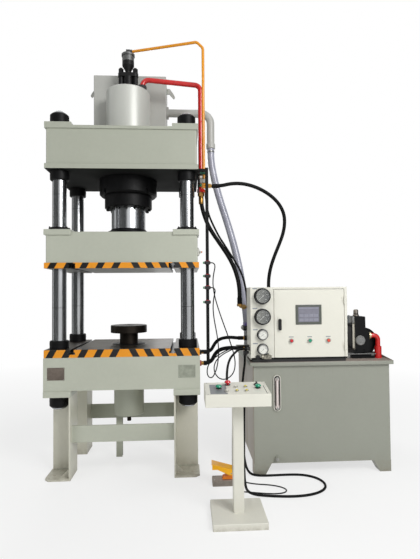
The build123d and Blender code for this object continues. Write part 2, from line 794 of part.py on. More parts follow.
def tank_lid():
    """Lid with its raised drip rim, the return connection and the filler cap."""
    x0, x1 = tank_x0 - lid_over, tank_x0 + tank_x + lid_over
    y0, y1 = tank_y0 - lid_over, tank_y0 + tank_y + lid_over
    outer = Pos((x0 + x1) / 2, (y0 + y1) / 2, tank_top) * RectangleRounded(x1 - x0, y1 - y0, 6)
    shape = extrude(outer, lid_t + rim_h)
    shape -= block(x0 + rim_w, x1 - rim_w, y0 + rim_w, y1 - rim_w, lid_z1, rim_top + 5)
    x, y, z = return_mouth()
    shape += rod(x, y, lid_z1 - 1, lid_z1 + 32, 84)
    shape += rod(x, y, lid_z1 + 31, z, 70)
    breather = [(0, 0), (28, 0), (28, 24), (40, 28), (40, 62), (32, 72), (0, 72)]
    return shape + turned(breather, tank_x0 + 300, 420, lid_z1 - 1)


def return_mouth():
    """Mouth of the connection on the lid where the fill hose ends."""
    return cabinet_x0 + 50, 120.0, lid_z1 + 60


def level_gauge():
    """Sight gauge on the tank front: frame, clear tube and its two banjo bolts."""
    x = tank_x0 + 187.5
    z0, z1 = tank_z0 + 406, tank_z0 + 690
    mid = (z0 + z1) / 2
    outline = Plane(origin=(x, tank_y0, mid), x_dir=(0, 0, 1), z_dir=(0, -1, 0))
    frame = extrude(outline * SlotOverall(z1 - z0, 61), 14)
    frame -= extrude(outline * Pos(0, 0, 5) * SlotOverall(z1 - z0 - 74, 30), 20)
    frame = chamfer(frame.faces().sort_by(Axis.Y)[0].outer_wire().edges(), 3)
    tube = rod(x, tank_y0 - 15, z0 + 40.3, z1 - 40.3, 18)
    for z in (z0 + 24, z1 - 24):
        frame += rod_y(x, z, tank_y0 - 22, tank_y0 - 13, 26)
    return Compound(children=[frame, tube])


def cabinet():
    """Sheet-metal control cabinet with a door opening, mounting plate, plinth and fixed hinge parts."""
    x0, x1 = cabinet_x0, cabinet_x0 + cabinet_x
    y0, y1 = cabinet_y0, cabinet_y0 + cabinet_y
    z0, z1 = rim_top, cabinet_top
    w = cabinet_wall
    box = extrude(Pos((x0 + x1) / 2, (y0 + y1) / 2, z0) * RectangleRounded(cabinet_x, cabinet_y, 5), z1 - z0)
    box -= block(x0 + w, x1 - w, y0 + w, y1 - w, z0 + w, z1 - w)
    jamb = 12.0
    box += block(door_x0 - jamb, door_x0 + door_x + jamb, y0, y0 + door_t + 4, z0, z1)
    box -= block(door_x0 - door_gap, door_x0 + door_x + door_gap, y0 - 5, y0 + door_t + 6,
                 z0 + door_foot - door_gap, z1 - door_drop + door_gap)
    plate = block(door_x0 + 20, door_x0 + door_x - 20, y1 - w - 14, y1 - w + 1, z0 + 60, z1 - 60)
    box += plate
    plinth_x = 14.0
    box += block(x0 + plinth_x, x1 - plinth_x, tank_y0 - lid_over + rim_w + 4, y1, lid_z1, z0 + 1)
    hx, hy = hinge_line()
    for z in hinge_levels():
        box += rod(hx, hy, z - 30, z, hinge_d)
        box += rod(hx, hy, z - 1, z + 24, hinge_pin_d)
        box += block(hx, hx + 18, y0 - 3, y0 + 1, z - 30, z)
        box += block(hx, hx + 6, hy, y0, z - 30, z)
    return Compound(children=[box, *cabinet_glands()])


def hinge_line():
    """Where the door turns, a little in front of its right edge."""
    return door_x0 + door_x + door_gap / 2, cabinet_y0 - hinge_d / 2 - 3


def hinge_levels():
    """Joint faces between the fixed and the moving barrel of each hinge."""
    z0 = rim_top + door_foot
    z1 = cabinet_top - door_drop
    return (z0 + 90, z1 - 90)


def door_controls():
    """Places of the three buttons on the door, as X and Z."""
    return [(door_x0 + x, rim_top + button_up) for x in buttons_in]


def cabinet_door():
    x0, x1 = door_x0, door_x0 + door_x
    y0 = cabinet_y0
    z0, z1 = rim_top + door_foot, cabinet_top - door_drop
    door = block(x0, x1, y0, y0 + door_t, z0, z1)
    door = chamfer(door.faces().sort_by(Axis.Y)[0].edges(), 2)
    door -= block(x0 + 12, x1 - 12, y0 + 3, y0 + door_t + 5, z0 + 12, z1 - 12)
    door -= block(screen_mid_x - screen_x / 2 + 8, screen_mid_x + screen_x / 2 - 8, y0 - 5, y0 + 8,
                  screen_mid_z - screen_z / 2 + 8, screen_mid_z + screen_z / 2 - 8)
    for x, z in door_controls():
        door += rod_y(x, z, y0 - 10, y0 + 24, button_d + 10)
        door -= rod_y(x, z, y0 - 15, y0 + 30, button_d + 2 * bolt_gap)
    hx, hy = hinge_line()
    for z in hinge_levels():
        knuckle = rod(hx, hy, z + 0.3, z + 30, hinge_d) + block(hx - 22, hx, y0 - 3, y0 + 1, z + 0.3, z + 30)
        knuckle += block(hx - 6, hx, hy, y0 - 2, z + 0.3, z + 30)
        door += knuckle
        door -= rod(hx, hy, z - 5, z + 40, hinge_pin_d + 2 * running_gap)
    hx, hz = handle_place()
    door += block(hx - 15, hx + 15, y0 - 4, y0 + 1, hz - 92, hz + 20)
    door += rod_y(hx, hz, y0 - 14, y0, 16)
    return door


def handle_place():
    """Pivot of the door handle, as X and Z."""
    return door_x0 + handle_in, rim_top + handle_up


def door_handle():
    """Lever handle that hangs from its pivot on the door."""
    x, z = handle_place()
    y = cabinet_y0 - 4.3
    lever = extrude(Plane(origin=(x, y, z - 32), x_dir=(0, 0, 1), z_dir=(0, -1, 0)) * SlotOverall(90, 24), 18)
    lever = fillet(lever.faces().sort_by(Axis.Y)[0].edges(), 5)
    return lever - rod_y(x, z, y - 10, y + 5, 16 + 2 * running_gap)


def touch_screen():
    """Touch screen: a bezel proud of the door and its body through the cut-out."""
    y = cabinet_y0
    x, z = screen_mid_x, screen_mid_z
    bezel = block(x - screen_x / 2, x + screen_x / 2, y - 7, y, z - screen_z / 2, z + screen_z / 2)
    bezel = chamfer(bezel.faces().sort_by(Axis.Y)[0].edges(), 3)
    bezel -= block(x - screen_x / 2 + 20, x + screen_x / 2 - 20, y - 10, y - 5, z - screen_z / 2 + 20,
                   z + screen_z / 2 - 16)
    body = block(x - screen_x / 2 + 10, x + screen_x / 2 - 10, y - 1, y + 42, z - screen_z / 2 + 10,
                 z + screen_z / 2 - 10)
    return bezel + body


def door_button(index):
    """One push button of the door, with its crowned cap."""
    x, z = door_controls()[index]
    y = cabinet_y0
    cap = rod_y(x, z, y - 20, y + 12, button_d)
    return fillet(cap.edges().sort_by(Axis.Y)[0], 3)


def pressure_gauges():
    """Four pressure gauges on the fixed part of the front, and their chrome isolating valve."""
    y = cabinet_y0
    pieces = []
    gauges = [(up, gauge_d, gauge_t) for up in gauge_levels]
    gauges += [(up, small_gauge_d, small_gauge_t) for up in small_gauge_levels]
    for up, d, t in gauges:
        r = d / 2
        case = turned([(0, 0), (r + 4, 0), (r + 4, 5), (r - 5, 8), (r - 5, t - 14), (r, t - 11),
                       (r, t - 2), (r - 2, t), (r - 7, t), (r - 7, t - 5), (0, t - 5)])
        pieces.append(Pos(cabinet_x0 + gauge_in, y, rim_top + up) * Rot(90, 0, 0) * case)
    x, z = cabinet_x0 + 128, rim_top + 22
    valve = block(x - 30, x + 30, y - 40, y, z - 16, z + 16)
    valve = chamfer(valve.edges().filter_by(Axis.Y), 5)
    valve += rod(x, y - 20, z + 15, z + 28, 22)
    valve += hex_x(y - 20, z, x - 44, x - 29, 26)
    pieces.append(valve)
    kx, kz = knob_place()
    stem = rod_y(kx, kz, y - 16, y, 22) + rod_y(kx, kz, y - 26, y, 9)
    pieces.append(stem)
    return Compound(children=pieces)


def knob_place():
    """Axis of the gauge valve's knob, as X and Z."""
    return cabinet_x0 + knob_in, rim_top + knob_up


def relief_knob():
    """Knurled hand knob on its spindle."""
    x, z = knob_place()
    y = cabinet_y0 - 16.3
    lobes = 8
    knob = rod_y(x, z, y - 22, y, 34)
    for i in range(lobes):
        a = math.radians(360 / lobes * i)
        knob -= rod_y(x + 19 * math.cos(a), z + 19 * math.sin(a), y - 18, y + 2, 8)
    return knob - rod_y(x, z, y - 12, y + 5, 9 + 2 * running_gap)


def bell_front():
    """Face of the bell housing that carries the pump."""
    return motor_y0 + 1 - bell_len


def shaft_z():
    """Height of the pump and motor shaft."""
    return lid_z1 + shaft_rise + 3


def motor():
    """Finned electric motor on its feet: fins, end shields, terminal box and the bell housing to the pump."""
    x, z = motor_x, shaft_z()
    r = motor_d / 2
    y0 = motor_y0
    y1 = y0 + motor_len
    fins = 28
    core = Circle(r - 12)
    fin = Pos(r - 7, 0) * Rectangle(14, 4)
    for i in range(fins):
        core += Rot(0, 0, 360 / fins * (i + 0.5)) * fin
    front = Plane(origin=(x, y0 + 40, z), x_dir=(1, 0, 0), z_dir=(0, 1, 0))
    shape = extrude(front * core, motor_len - 110)
    shape += rod_y(x, z, y0, y0 + 41, motor_d)
    shape += rod_y(x, z, y1 - 71, y1, motor_d)
    shape -= rod_y(x, z, y0 + 30, y1 - 60, rotor_d + 4)
    shape -= rod_y(x, z, y0 - 5, y1 - 45, shaft_d + 2 * running_gap)
    shape -= rod_y(x, z, y1 - 50, y1 - 3, motor_d - 6)
    for ring in (60, 90, 120, 150, 180):
        grille = Circle(ring / 2 + 4) - Circle(ring / 2 - 4)
        shape -= extrude(Plane(origin=(x, y1 - 6, z), x_dir=(1, 0, 0), z_dir=(0, 1, 0)) * (
            grille - Rectangle(300, 10) - Rectangle(10, 300)), 12)
    bell = turned([(r - 30, 0), (r, 0), (r, 14), (r - 30, 30), (r - 34, bell_len - 16),
                   (r - 10, bell_len - 12), (r - 10, bell_len), (r - 60, bell_len), (r - 44, 30)])
    shape += Pos(x, y0 + 1, z) * Rot(90, 0, 0) * bell
    for sx in (-1, 1):
        shape += block(x + sx * 95 - 25, x + sx * 95 + 25, y0 + 70, y0 + 300, lid_z1, z - r + 40)
    box = block(x - 60, x + 60, y0 + 90, y0 + 210, z + r - 16, z + r + 62)
    shape += fillet(box.edges().filter_by(Axis.Z), 8)
    return shape


def motor_rotor():
    """Rotor with its shaft through both bearings, and the cooling fan under the cowl."""
    x, z = motor_x, shaft_z()
    y0 = motor_y0
    y1 = y0 + motor_len
    shape = rod_y(x, z, y0 - 80, y1 - 12, shaft_d)
    shape += rod_y(x, z, y0 + 60, y1 - 90, rotor_d)
    shape += rod_y(x, z, y1 - 44, y1 - 14, 80)
    blades = 6
    for i in range(blades):
        blade = block(36, motor_d / 2 - 12, y1 - 42, y1 - 16, -3, 3)
        shape += Pos(x, 0, z) * Rot(0, 360 / blades * i, 0) * blade
    shape += rod_y(x, z, y0 - 80, y0 - 30, 90)
    return shape


def pump():
    """Piston pump: casing, control head with its sloping shoulder, flange, adjusting screw and scale plug."""
    x, z = motor_x, shaft_z()
    y = pump_y0
    rim = lid_z1
    case = turned([(0, 0), (115, 0), (115, 20), (106, 26), (106, 120), (115, 128), (115, 160),
                   (96, 179), (0, 179)])
    shape = Pos(x, bell_front(), z) * Rot(90, 0, 0) * case
    left, right = x - pump_head_left, x + pump_head_right
    top, shoulder = rim + pump_head_h, rim + pump_shoulder
    outline = [(left, rim + 40), (right, rim + 60), (right, shoulder), (right - 31, shoulder + 28),
               (right - 32, top), (left, top)]
    body = prism_y(outline, y, y + 96)
    shape += fillet(body.edges().filter_by(Axis.Y), 6)
    flange = block(left - 28, left + 1, y + 6, y + 90, shoulder - 132, shoulder + 78)
    shape += chamfer(flange.edges().filter_by(Axis.X), 8)
    adjuster = [(0, 0), (25, 0), (25, 14), (20, 18), (20, 52), (13, 59), (0, 59)]
    shape += turned(adjuster, left + 29, y + 48, top - 1)
    plug = [(0, 0), (40, 0), (40, 8), (36, 12), (0, 12)]
    shape += Pos(left + 44, y + 1, z + 15) * Rot(90, 0, 0) * turned(plug)
    shape += block(left - 15, right + 45, y + 4, bell_front() - 10, rim, rim + 24)
    shape += block(left + 7, right + 43, y + 60, bell_front() - 20, rim + 23, rim + 60)
    hole = rod_y(x, z, bell_front() - 40, bell_front() + 5, shaft_d + 60)
    return shape - hole


def pump_pipe():
    """Red delivery elbow from the pump's side down through the lid, with its thicker sleeve."""
    x0 = motor_x + pump_head_right
    x1 = motor_x + elbow_x
    y = pump_y0 + 20
    z = lid_z1 + elbow_up
    shape = bent_pipe([(x0, y, z), (x1, y, z), (x1, y, lid_z1 + 6)], 38, 36)
    shape += rod_x(y, z, x0, x0 + 14, 60)
    shape += rod(x1, y, lid_z1, lid_z1 + 96, 56)
    shape += rod(x1, y, lid_z1, lid_z1 + 12, 58)
    return shape


def manifold_faces():
    """The valve block's left face and its top."""
    return cabinet_x0 + manifold_in, lid_z1 + manifold_lift + manifold_h


def valve_manifold():
    """Drilled valve block behind the cabinet, with the risers and unions for the hoses."""
    x0, z1 = manifold_faces()
    x1 = x0 + manifold_x
    y0, y1 = manifold_y0, manifold_y0 + manifold_y
    shape = block(x0, x1, y0, y1, lid_z1 + manifold_lift, z1)
    shape = chamfer(shape.edges(), 4)
    shape += block(x0 + 20, x1 - 20, y0 + 20, y1 - 20, lid_z1, lid_z1 + manifold_lift + 5)
    out_x, out_y, out_z = red_line_mouth()
    in_x = cabinet_x0 + red_line_start
    red_z = out_z - 25
    line = [(out_x, out_y, out_z), (out_x, out_y, red_z), (in_x, out_y, red_z), (in_x, out_y, z1 - 2)]
    shape += bent_pipe(line, 24, 20)
    shape += hexagon(out_x, out_y, out_z, out_z - 20, 40)
    shape += hex_x(out_y, red_z, out_x + 21, out_x + 47, 40)
    top_x, top_y, top_z = riser_mouth()
    shape += rod(top_x, top_y, z1 - 1, top_z, 26)
    shape += hexagon(top_x, top_y, top_z - 26, top_z, 38)
    shape += hexagon(top_x, top_y, z1 - 1, z1 + 24, 42)
    for (x, y, z), d in zip(block_ports(), (30, 36)):
        shape += hex_x(y, z, x + 8, x0 + 1, d + 10)
        shape += rod_x(y, z, x, x0 + 1, d)
    return shape


def red_line_mouth():
    """Upper end of the short red line, where the pressure hose begins."""
    return cabinet_x0 + red_line_end, red_line_y, manifold_faces()[1] + red_line_up + 25


def riser_mouth():
    """Top of the riser on the valve block, where the main hose ends."""
    x0, z1 = manifold_faces()
    return x0 + riser_in, riser_y, z1 + riser_h


def block_ports():
    """Mouths of the two ejector lines on the valve block's left face."""
    x0, z1 = manifold_faces()
    return [(x0 - 32, manifold_y0 + 30, z1 - drop) for drop in (41, 126)]


def solenoid_valves():
    """Three directional valves on the block, each with a coil at either end and its plug."""
    x0, z1 = manifold_faces()
    pieces = []
    for place in (50, 100, 150):
        y = manifold_y0 + place
        z = z1 + 38
        body = block(x0 + 70, x0 + 150, y - 21, y + 21, z1, z + 34)
        body = chamfer(body.edges().filter_by(Axis.Z), 3)
        for a, b in ((x0 - 26, x0 + 71), (x0 + 149, x0 + 222)):
            body += rod_x(y, z, a, b, 40)
        body += block(x0 - 14, x0 + 30, y - 14, y + 14, z + 14, z + 44)
        pieces.append(body)
    return Compound(children=pieces)


def console_stand():
    """Square pole on its floor plate, with its head plate."""
    foot = block(base_mid_x - base_x / 2, base_mid_x + base_x / 2, base_front, base_front + base_y, 0, base_t)
    foot = fillet(foot.edges().filter_by(Axis.Z), 8)
    foot = chamfer(foot.faces().sort_by(Axis.Z)[-1].edges(), 3)
    pole = extrude(Pos(pole_x, pole_y, base_t - 1) * RectangleRounded(pole_w, pole_w, 6), box_z0 - base_t + 1)
    head = block(pole_x - 80, pole_x + 80, pole_y - 48, pole_y + 48, box_z0 - 6, box_z0)
    return foot + pole + head


def panel_tilt():
    """Slope of the console's panel."""
    return math.degrees(math.atan2(box_rear_h - box_front_h, box_y))


def panel_frame(x, y):
    """A place on the sloping panel, with its Z along the panel's normal."""
    z = box_z0 + box_front_h + (y - box_front) * (box_rear_h - box_front_h) / box_y
    return Pos(x, y, z) * Rot(panel_tilt(), 0, 0)


def console_places():
    """Hand controls on the panel: left palm, right palm, stop button and selector."""
    mid = base_mid_x + 4.5
    palm_y = box_front + palm_back
    palms = [(mid + side * palm_gap_x / 2, palm_y) for side in (-1, 1)]
    return *palms, (mid - palm_gap_x / 4, palm_y + 72), (mid + palm_gap_x / 2, palm_y + 64)


def small_button_places():
    """The five small buttons in their two rows, between the palm buttons."""
    mid = base_mid_x + 4.5
    front = [(mid + x, box_front + 57) for x in (-79, -16, 45)]
    return front + [(mid + x, box_front + 136) for x in (-15, 47)]


def console_box():
    """Console box with its sloping panel, the five small buttons, button collars and cable glands."""
    x0 = base_mid_x - 7.5 - box_x / 2
    box_rear = box_front + box_y
    side = Plane.YZ * Polyline((box_front, box_z0), (box_rear, box_z0), (box_rear, box_z0 + box_rear_h),
                               (box_front, box_z0 + box_front_h), close=True)
    shape = Pos(x0, 0, 0) * extrude(make_face(side), box_x)
    shape = fillet(shape.edges(), 4)
    palm_l, palm_r, stop, turn = console_places()
    for x, y, d in ((*palm_l, palm_d), (*palm_r, palm_d), (*stop, estop_d), (*turn, small_d)):
        collar = min(d, 30.0)
        shape += panel_frame(x, y) * (Pos(0, 0, 2) * Cylinder(collar / 2, 8))
        shape -= panel_frame(x, y) * (Pos(0, 0, 0) * Cylinder(8 + bolt_gap, 40))
    for x, y in small_button_places():
        shape += panel_frame(x, y) * (Pos(0, 0, 3) * Cylinder(small_d / 2, 10))
        shape += panel_frame(x, y) * (Pos(0, 0, 8) * Cylinder(small_d / 2 - 4, 10))
    for x, y in gland_places():
        shape += hexagon(x, y, box_z0, box_z0 - 16, 22)
    cx, cy, cz = console_rear_gland()
    return shape + rod_y(cx, cz, cy - 20, cy, 22)


def gland_places():
    """Cable glands under the console box, clear of its pole."""
    return (pole_x - 22, pole_y + 66), (pole_x + 50, pole_y + 66)


def console_rear_gland():
    """Mouth of the gland in the console's rear wall."""
    return pole_x - 55, box_front + box_y + 18, box_z0 + 62


def mushroom(x, y, d, rise):
    """A mushroom button on the panel, with its stem in the collar."""
    r = d / 2
    head = turned([(0, -12), (8, -12), (8, rise - 10), (r - 4, rise - 10), (r, rise - 6), (r, rise - 4),
                   (r - 5, rise + 3), (r - 12, rise + 6), (0, rise + 7)])
    return panel_frame(x, y) * head


def selector_switch():
    """Selector with its raised grip bar."""
    x, y = console_places()[3]
    r = small_d / 2
    disc = turned([(0, -16), (8, -16), (8, 6.5), (r, 6.5), (r, 12), (r - 2, 14), (0, 14)])
    return panel_frame(x, y) * (disc + Pos(0, 0, 16) * Box(7, small_d, 12))


def pedal_hinge():
    """Pin of the treadle, at the closed end of the pedal, as X and Z."""
    return pedal_x0 + pedal_x - 16, 92.0


def pedal_base():
    """Cast base with its ribs, the orange cover at the hinge end and the hinge pin."""
    x0, x1 = pedal_x0, pedal_x0 + pedal_x
    y0, y1 = pedal_y0, pedal_y0 + pedal_y
    base = block(x0, x1, y0, y1, 0, pedal_base_h)
    base = fillet(base.edges().filter_by(Axis.Z), 10)
    base = chamfer(base.faces().sort_by(Axis.Z)[-1].edges(), 2)
    for i in range(5):
        base -= block(x0 + 14 + 26 * i, x0 + 24 + 26 * i, y0 - 5, y0 + 4, 10, pedal_base_h - 8)
    cover = prism_y([(x0 + 74, pedal_base_h - 1), (x1 - 2, pedal_base_h - 1), (x1 - 2, 96), (x1 - 30, 76),
                     (x0 + 80, 58)], y0 + 22, y1 - 22)
    hx, hz = pedal_hinge()
    cover += rod_y(hx, hz, y0 + 22, y1 - 22, 24)
    cover += rod_y(hx, hz, y0 + 2, y1 - 2, 10)
    cover += block(hx - 12, hx + 12, y0 + 22, y1 - 22, pedal_base_h - 1, hz)
    x, y, z = pedal_gland()
    return base + cover + rod_x(y, z, x1 - 1, x, 18)


def pedal_gland():
    """Mouth of the cable gland at the pedal's closed end."""
    return pedal_x0 + pedal_x + 22, pedal_y0 + pedal_y / 2, pedal_base_h / 2


def pedal_plate():
    """Folded treadle with side cheeks, hung on the pin and raised at its free end."""
    hx, hz = pedal_hinge()
    x0 = pedal_x0 - 2
    y0, y1 = pedal_y0, pedal_y0 + pedal_y
    t = 4.0
    outer = prism_y([(x0, 162), (x0 + 4, 162), (hx + 16, hz + 26), (hx + 16, hz - 12), (hx - 14, hz - 12),
                     (x0 + 40, 122), (x0, 122)], y0, y1)
    inner = prism_y([(x0 - 20, 162 - t), (x0 + 4, 162 - t), (hx + 30, hz + 25 - t), (hx + 30, hz - 30),
                     (x0 - 20, 60)], y0 + t, y1 - t)
    return outer - inner - rod_y(hx, hz, y0 - 5, y1 + 5, 10 + 2 * running_gap)


# Cord routes, each a hand-chosen list of points from one end to the other
bar_x = half_x + bar_off_x
sensor_y = bar_y - bar_w / 2 - 16
sensor_end = bar_x + 24
outlet_x = fill_x / 2 + outlet_reach
outlet_y_mid = fill_y1 - 150

main_hose_route = [
    (714, -220, 2322), (790, -220, 2322), (875, -219, 2344), (975, -208, 2348), (1070, -190, 2330),
    (1160, -170, 2296), (1240, -150, 2248), (1305, -132, 2185), (1345, -118, 2108), (1352, -108, 2020),
    (1335, -102, 1930), (1300, -98, 1840), (1262, -96, 1750), (1228, -95, 1655), (1208, -94, 1555),
    (1206, -92, 1450), (1226, -91, 1360), (1256, -90, 1285), (1256, -90, 1215)]
pressure_hose_route = [
    (630, -82, 2264), (630, -82, 2222), (641, -90, 2150), (662, -104, 2075), (692, -114, 2000),
    (733, -122, 1928), (780, -132, 1858), (828, -145, 1785), (873, -158, 1708), (908, -168, 1628),
    (932, -175, 1545), (944, -177, 1465), (945, -175, 1395), (945, -175, 1336)]
gauge_hose_route = [
    (672, -82, 2282), (672, -82, 2240), (676, -92, 2190), (684, -106, 2140), (698, -122, 2085),
    (720, -136, 2028), (748, -146, 1966), (780, -150, 1903), (822, -157, 1838), (862, -164, 1771),
    (906, -169, 1702), (948, -170, 1632), (983, -166, 1540), (1004, -146, 1450), (1016, -118, 1366),
    (1024, -96, 1290), (1029, -98, 1226), (1030, -140, 1195), (1030, -182, 1195)]
fill_hose_route = [
    (735, 250, 2787), (735, 250, 2690), (752, 248, 2570), (782, 240, 2430), (822, 228, 2280),
    (868, 214, 2130), (912, 196, 1975), (952, 178, 1815), (986, 160, 1650), (1012, 144, 1480),
    (1032, 130, 1310), (1045, 122, 1160), (1050, 120, 1040), (1050, 120, 941)]
ejector_upper_route = [
    (640, -100, 928), (668, -100, 928), (694, -101, 938), (713, -103, 957), (726, -105, 981),
    (740, -108, 1005), (760, -113, 1026), (788, -120, 1042), (826, -131, 1052), (874, -145, 1055),
    (926, -160, 1050), (972, -160, 1050)]
ejector_lower_route = [
    (640, -100, 836), (670, -100, 836), (697, -101, 847), (716, -103, 867), (728, -106, 892),
    (742, -109, 916), (762, -114, 937), (790, -121, 953), (830, -131, 963), (876, -144, 967),
    (926, -160, 965), (972, -160, 965)]
sensor_left_route = [
    (694, sensor_y, 1473), (708, sensor_y, 1473), (720, sensor_y, 1468), (728, -327, 1457),
    (730, -325, 1443), (727, -322, 1426), (720, -317, 1396), (714, -311, 1350), (713, -305, 1290),
    (722, -298, 1210), (738, -292, 1128), (752, -290, 1036), (758, -288, 950), (750, -288, 870),
    (738, -289, 812), (724, -290, 784), (716, -290, 764), (705, -290, 750), (691, -290, 745),
    (677, -287, 750), (667, -284, 763), (662, -281, 784), (663, -279, 812), (671, -277, 842),
    (690, -278, 872), (730, -285, 910), (786, -299, 948), (850, -316, 980), (918, -330, 1000),
    (976, -330, 1000)]
sensor_right_route = [
    (694, sensor_y, 1673), (708, sensor_y, 1673), (720, sensor_y, 1668), (728, -327, 1657),
    (730, -325, 1643), (728, -321, 1625), (722, -314, 1596), (715, -304, 1550), (714, -292, 1490),
    (728, -281, 1402), (758, -276, 1298), (792, -273, 1198), (826, -270, 1104), (856, -268, 1020),
    (880, -268, 940), (894, -268, 866), (886, -268, 792), (852, -268, 744), (800, -268, 722),
    (752, -268, 738), (722, -268, 784), (718, -268, 838), (742, -266, 888), (792, -266, 930),
    (856, -272, 962), (920, -290, 998), (976, -290, 998)]
console_cable_route = [
    (768, -943, 797), (768, -918, 797), (770, -878, 812), (775, -815, 842), (785, -730, 880),
    (802, -640, 915), (828, -560, 945), (866, -488, 967), (896, -430, 982), (920, -396, 985),
    (948, -376, 985), (976, -376, 985)]
floor_cable_route = [
    (968, -300, 925), (968, -300, 868), (957, -301, 790), (946, -302, 700), (939, -303, 590),
    (938, -300, 470), (941, -294, 350), (946, -292, 240), (951, -300, 150), (957, -322, 80),
    (968, -358, 34), (990, -398, 12), (1034, -428, 9.5), (1100, -436, 9), (1180, -434, 9),
    (1275, -431, 9), (1365, -436, 9), (1440, -466, 9), (1496, -526, 9), (1518, -608, 9), (1498, -692, 9),
    (1434, -756, 9), (1344, -794, 9), (1240, -806, 9), (1136, -796, 9), (1040, -780, 10),
    (966, -780, 20), (916, -806, 52), (894, -846, 104), (882, -884, 180), (876, -914, 280),
    (874, -934, 390), (873, -952, 500), (872, -966, 600), (873, -974, 665), (873, -974, 719)]
pedal_cable_route = [
    (860, -537, 22), (886, -537, 22), (920, -545, 13), (966, -560, 6), (1024, -578, 5), (1090, -592, 5),
    (1152, -616, 5), (1200, -654, 5), (1214, -700, 5), (1184, -736, 5), (1126, -746, 5), (1064, -738, 5),
    (1006, -724, 5), (956, -712, 6), (910, -716, 12), (870, -738, 28), (840, -774, 62), (820, -812, 118),
    (808, -850, 192), (803, -882, 282), (801, -908, 380), (800, -930, 490), (800, -954, 590),
    (801, -974, 668), (801, -974, 719)]

cords = [
    ("main_hose", main_hose_route, 30), ("pressure_hose", pressure_hose_route, 35),
    ("gauge_hose", gauge_hose_route, 17), ("fill_hose", fill_hose_route, 66),
    ("ejector_hose_upper", ejector_upper_route, 28), ("ejector_hose_lower", ejector_lower_route, 33),
    ("sensor_cable_left", sensor_left_route, 9), ("sensor_cable_right", sensor_right_route, 9),
    ("console_cable", console_cable_route, 17), ("floor_cable", floor_cable_route, 18),
    ("pedal_cable", pedal_cable_route, 9)]


def bed_ports():
    """Unions of the two ejector hoses on the bed's right side."""
    pieces = []
    for drop, d in ((port_upper, 28), (port_lower, 33)):
        z = bed_top - drop
        union = hex_x(port_y, z, half_x + 2, half_x + 22, d + 12)
        union += rod_x(port_y, z, half_x + 2, half_x + 40, d)
        pieces.append(union)
    return pieces


def cabinet_glands():
    """Cable glands on the cabinet's left wall, one of them an elbow, and the gauge line's union behind."""
    pieces = []
    for (x, y, z), d in zip(wall_glands(), (16, 16, 24)):
        gland = hex_x(y, z, x + 14, cabinet_x0, d + 4)
        pieces.append(gland + rod_x(y, z, x, cabinet_x0, d))
    x, y, z = wall_elbow()
    elbow = rod_x(y, z + 21, x - 13, cabinet_x0, 26)
    elbow += rod(x, y, z, z + 21, 24)
    pieces.append(elbow)
    x, y, z = gauge_union()
    pieces.append(rod_y(x, z, y - 24, y, 22) + rod_y(x, z, y - 24, y - 12, 30))
    return pieces


def wall_glands():
    """Mouths of the two sensor cable glands and the console cable gland on the left wall."""
    x = cabinet_x0 - 24
    return [(x, cabinet_y0 + back, rim_top + up) for back, up in ((88, 95), (128, 93), (42, 80))]


def wall_elbow():
    """Mouth of the elbow on the left wall, facing down."""
    return cabinet_x0 - 32, cabinet_y0 + 118, rim_top + 20


def gauge_union():
    """Mouth of the gauge line's union on the rear wall."""
    return cabinet_x0 + 30, cabinet_y0 + cabinet_y + 24, rim_top + 290


os.makedirs("parts", exist_ok=True)
save(bed(), "bed")
save(leg_frame(True), "leg_frame_front")
save(leg_frame(False), "leg_frame_rear")
save(columns(), "columns")
save(column_nuts(), "column_nuts")
save(crosshead(), "crosshead")
save(slide(), "slide")
save(guide_bushings(), "guide_bushings")
save(ram(), "ram")
save(cylinder_barrel(), "cylinder_barrel")
save(cylinder_locknut(), "cylinder_locknut")
save(gland_rings(), "gland_rings")
save(prefill_valve(), "prefill_valve")
save(fill_tank(), "fill_tank")
save(pressure_pipe(), "pressure_pipe")
save(pilot_pipe(), "pilot_pipe")
save(pipe_clamps(), "pipe_clamps")
save(sensor_bar(), "sensor_bar")
save(limit_sensors(), "limit_sensors")
save(striker(), "striker")
save(ejector_barrel(), "ejector_barrel")
save(ejector_rod(), "ejector_rod")
save(ejector_disc(), "ejector_disc")
save(oil_tank(), "oil_tank")
save(tank_lid(), "tank_lid")
save(level_gauge(), "level_gauge")
save(cabinet(), "cabinet")
save(cabinet_door(), "cabinet_door")
save(door_handle(), "door_handle")
save(touch_screen(), "touch_screen")
for number, button_name in enumerate(("stop_button", "start_button", "reset_button")):
    save(door_button(number), button_name)
save(pressure_gauges(), "pressure_gauges")
save(relief_knob(), "relief_knob")
save(motor(), "motor")
save(motor_rotor(), "motor_rotor")
save(pump(), "pump")
save(pump_pipe(), "pump_pipe")
save(valve_manifold(), "valve_manifold")
save(solenoid_valves(), "solenoid_valves")
save(console_stand(), "console_stand")
save(console_box(), "console_box")
palm_left, palm_right, stop_place, turn_place = console_places()
save(mushroom(*palm_left, palm_d, palm_rise), "palm_button_left")
save(mushroom(*palm_right, palm_d, palm_rise), "palm_button_right")
save(mushroom(*stop_place, estop_d, estop_rise), "emergency_stop")
save(selector_switch(), "selector_switch")
save(pedal_base(), "pedal_base")
save(pedal_plate(), "pedal_plate")
for cord_name, route, diameter in cords:
    save(cord(route, diameter, cord_name), cord_name)
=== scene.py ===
"""Looks of a four-column hydraulic press with its power unit, two-hand console and foot pedal."""

import math

import bmesh
import bpy
from mathutils import Matrix, Vector


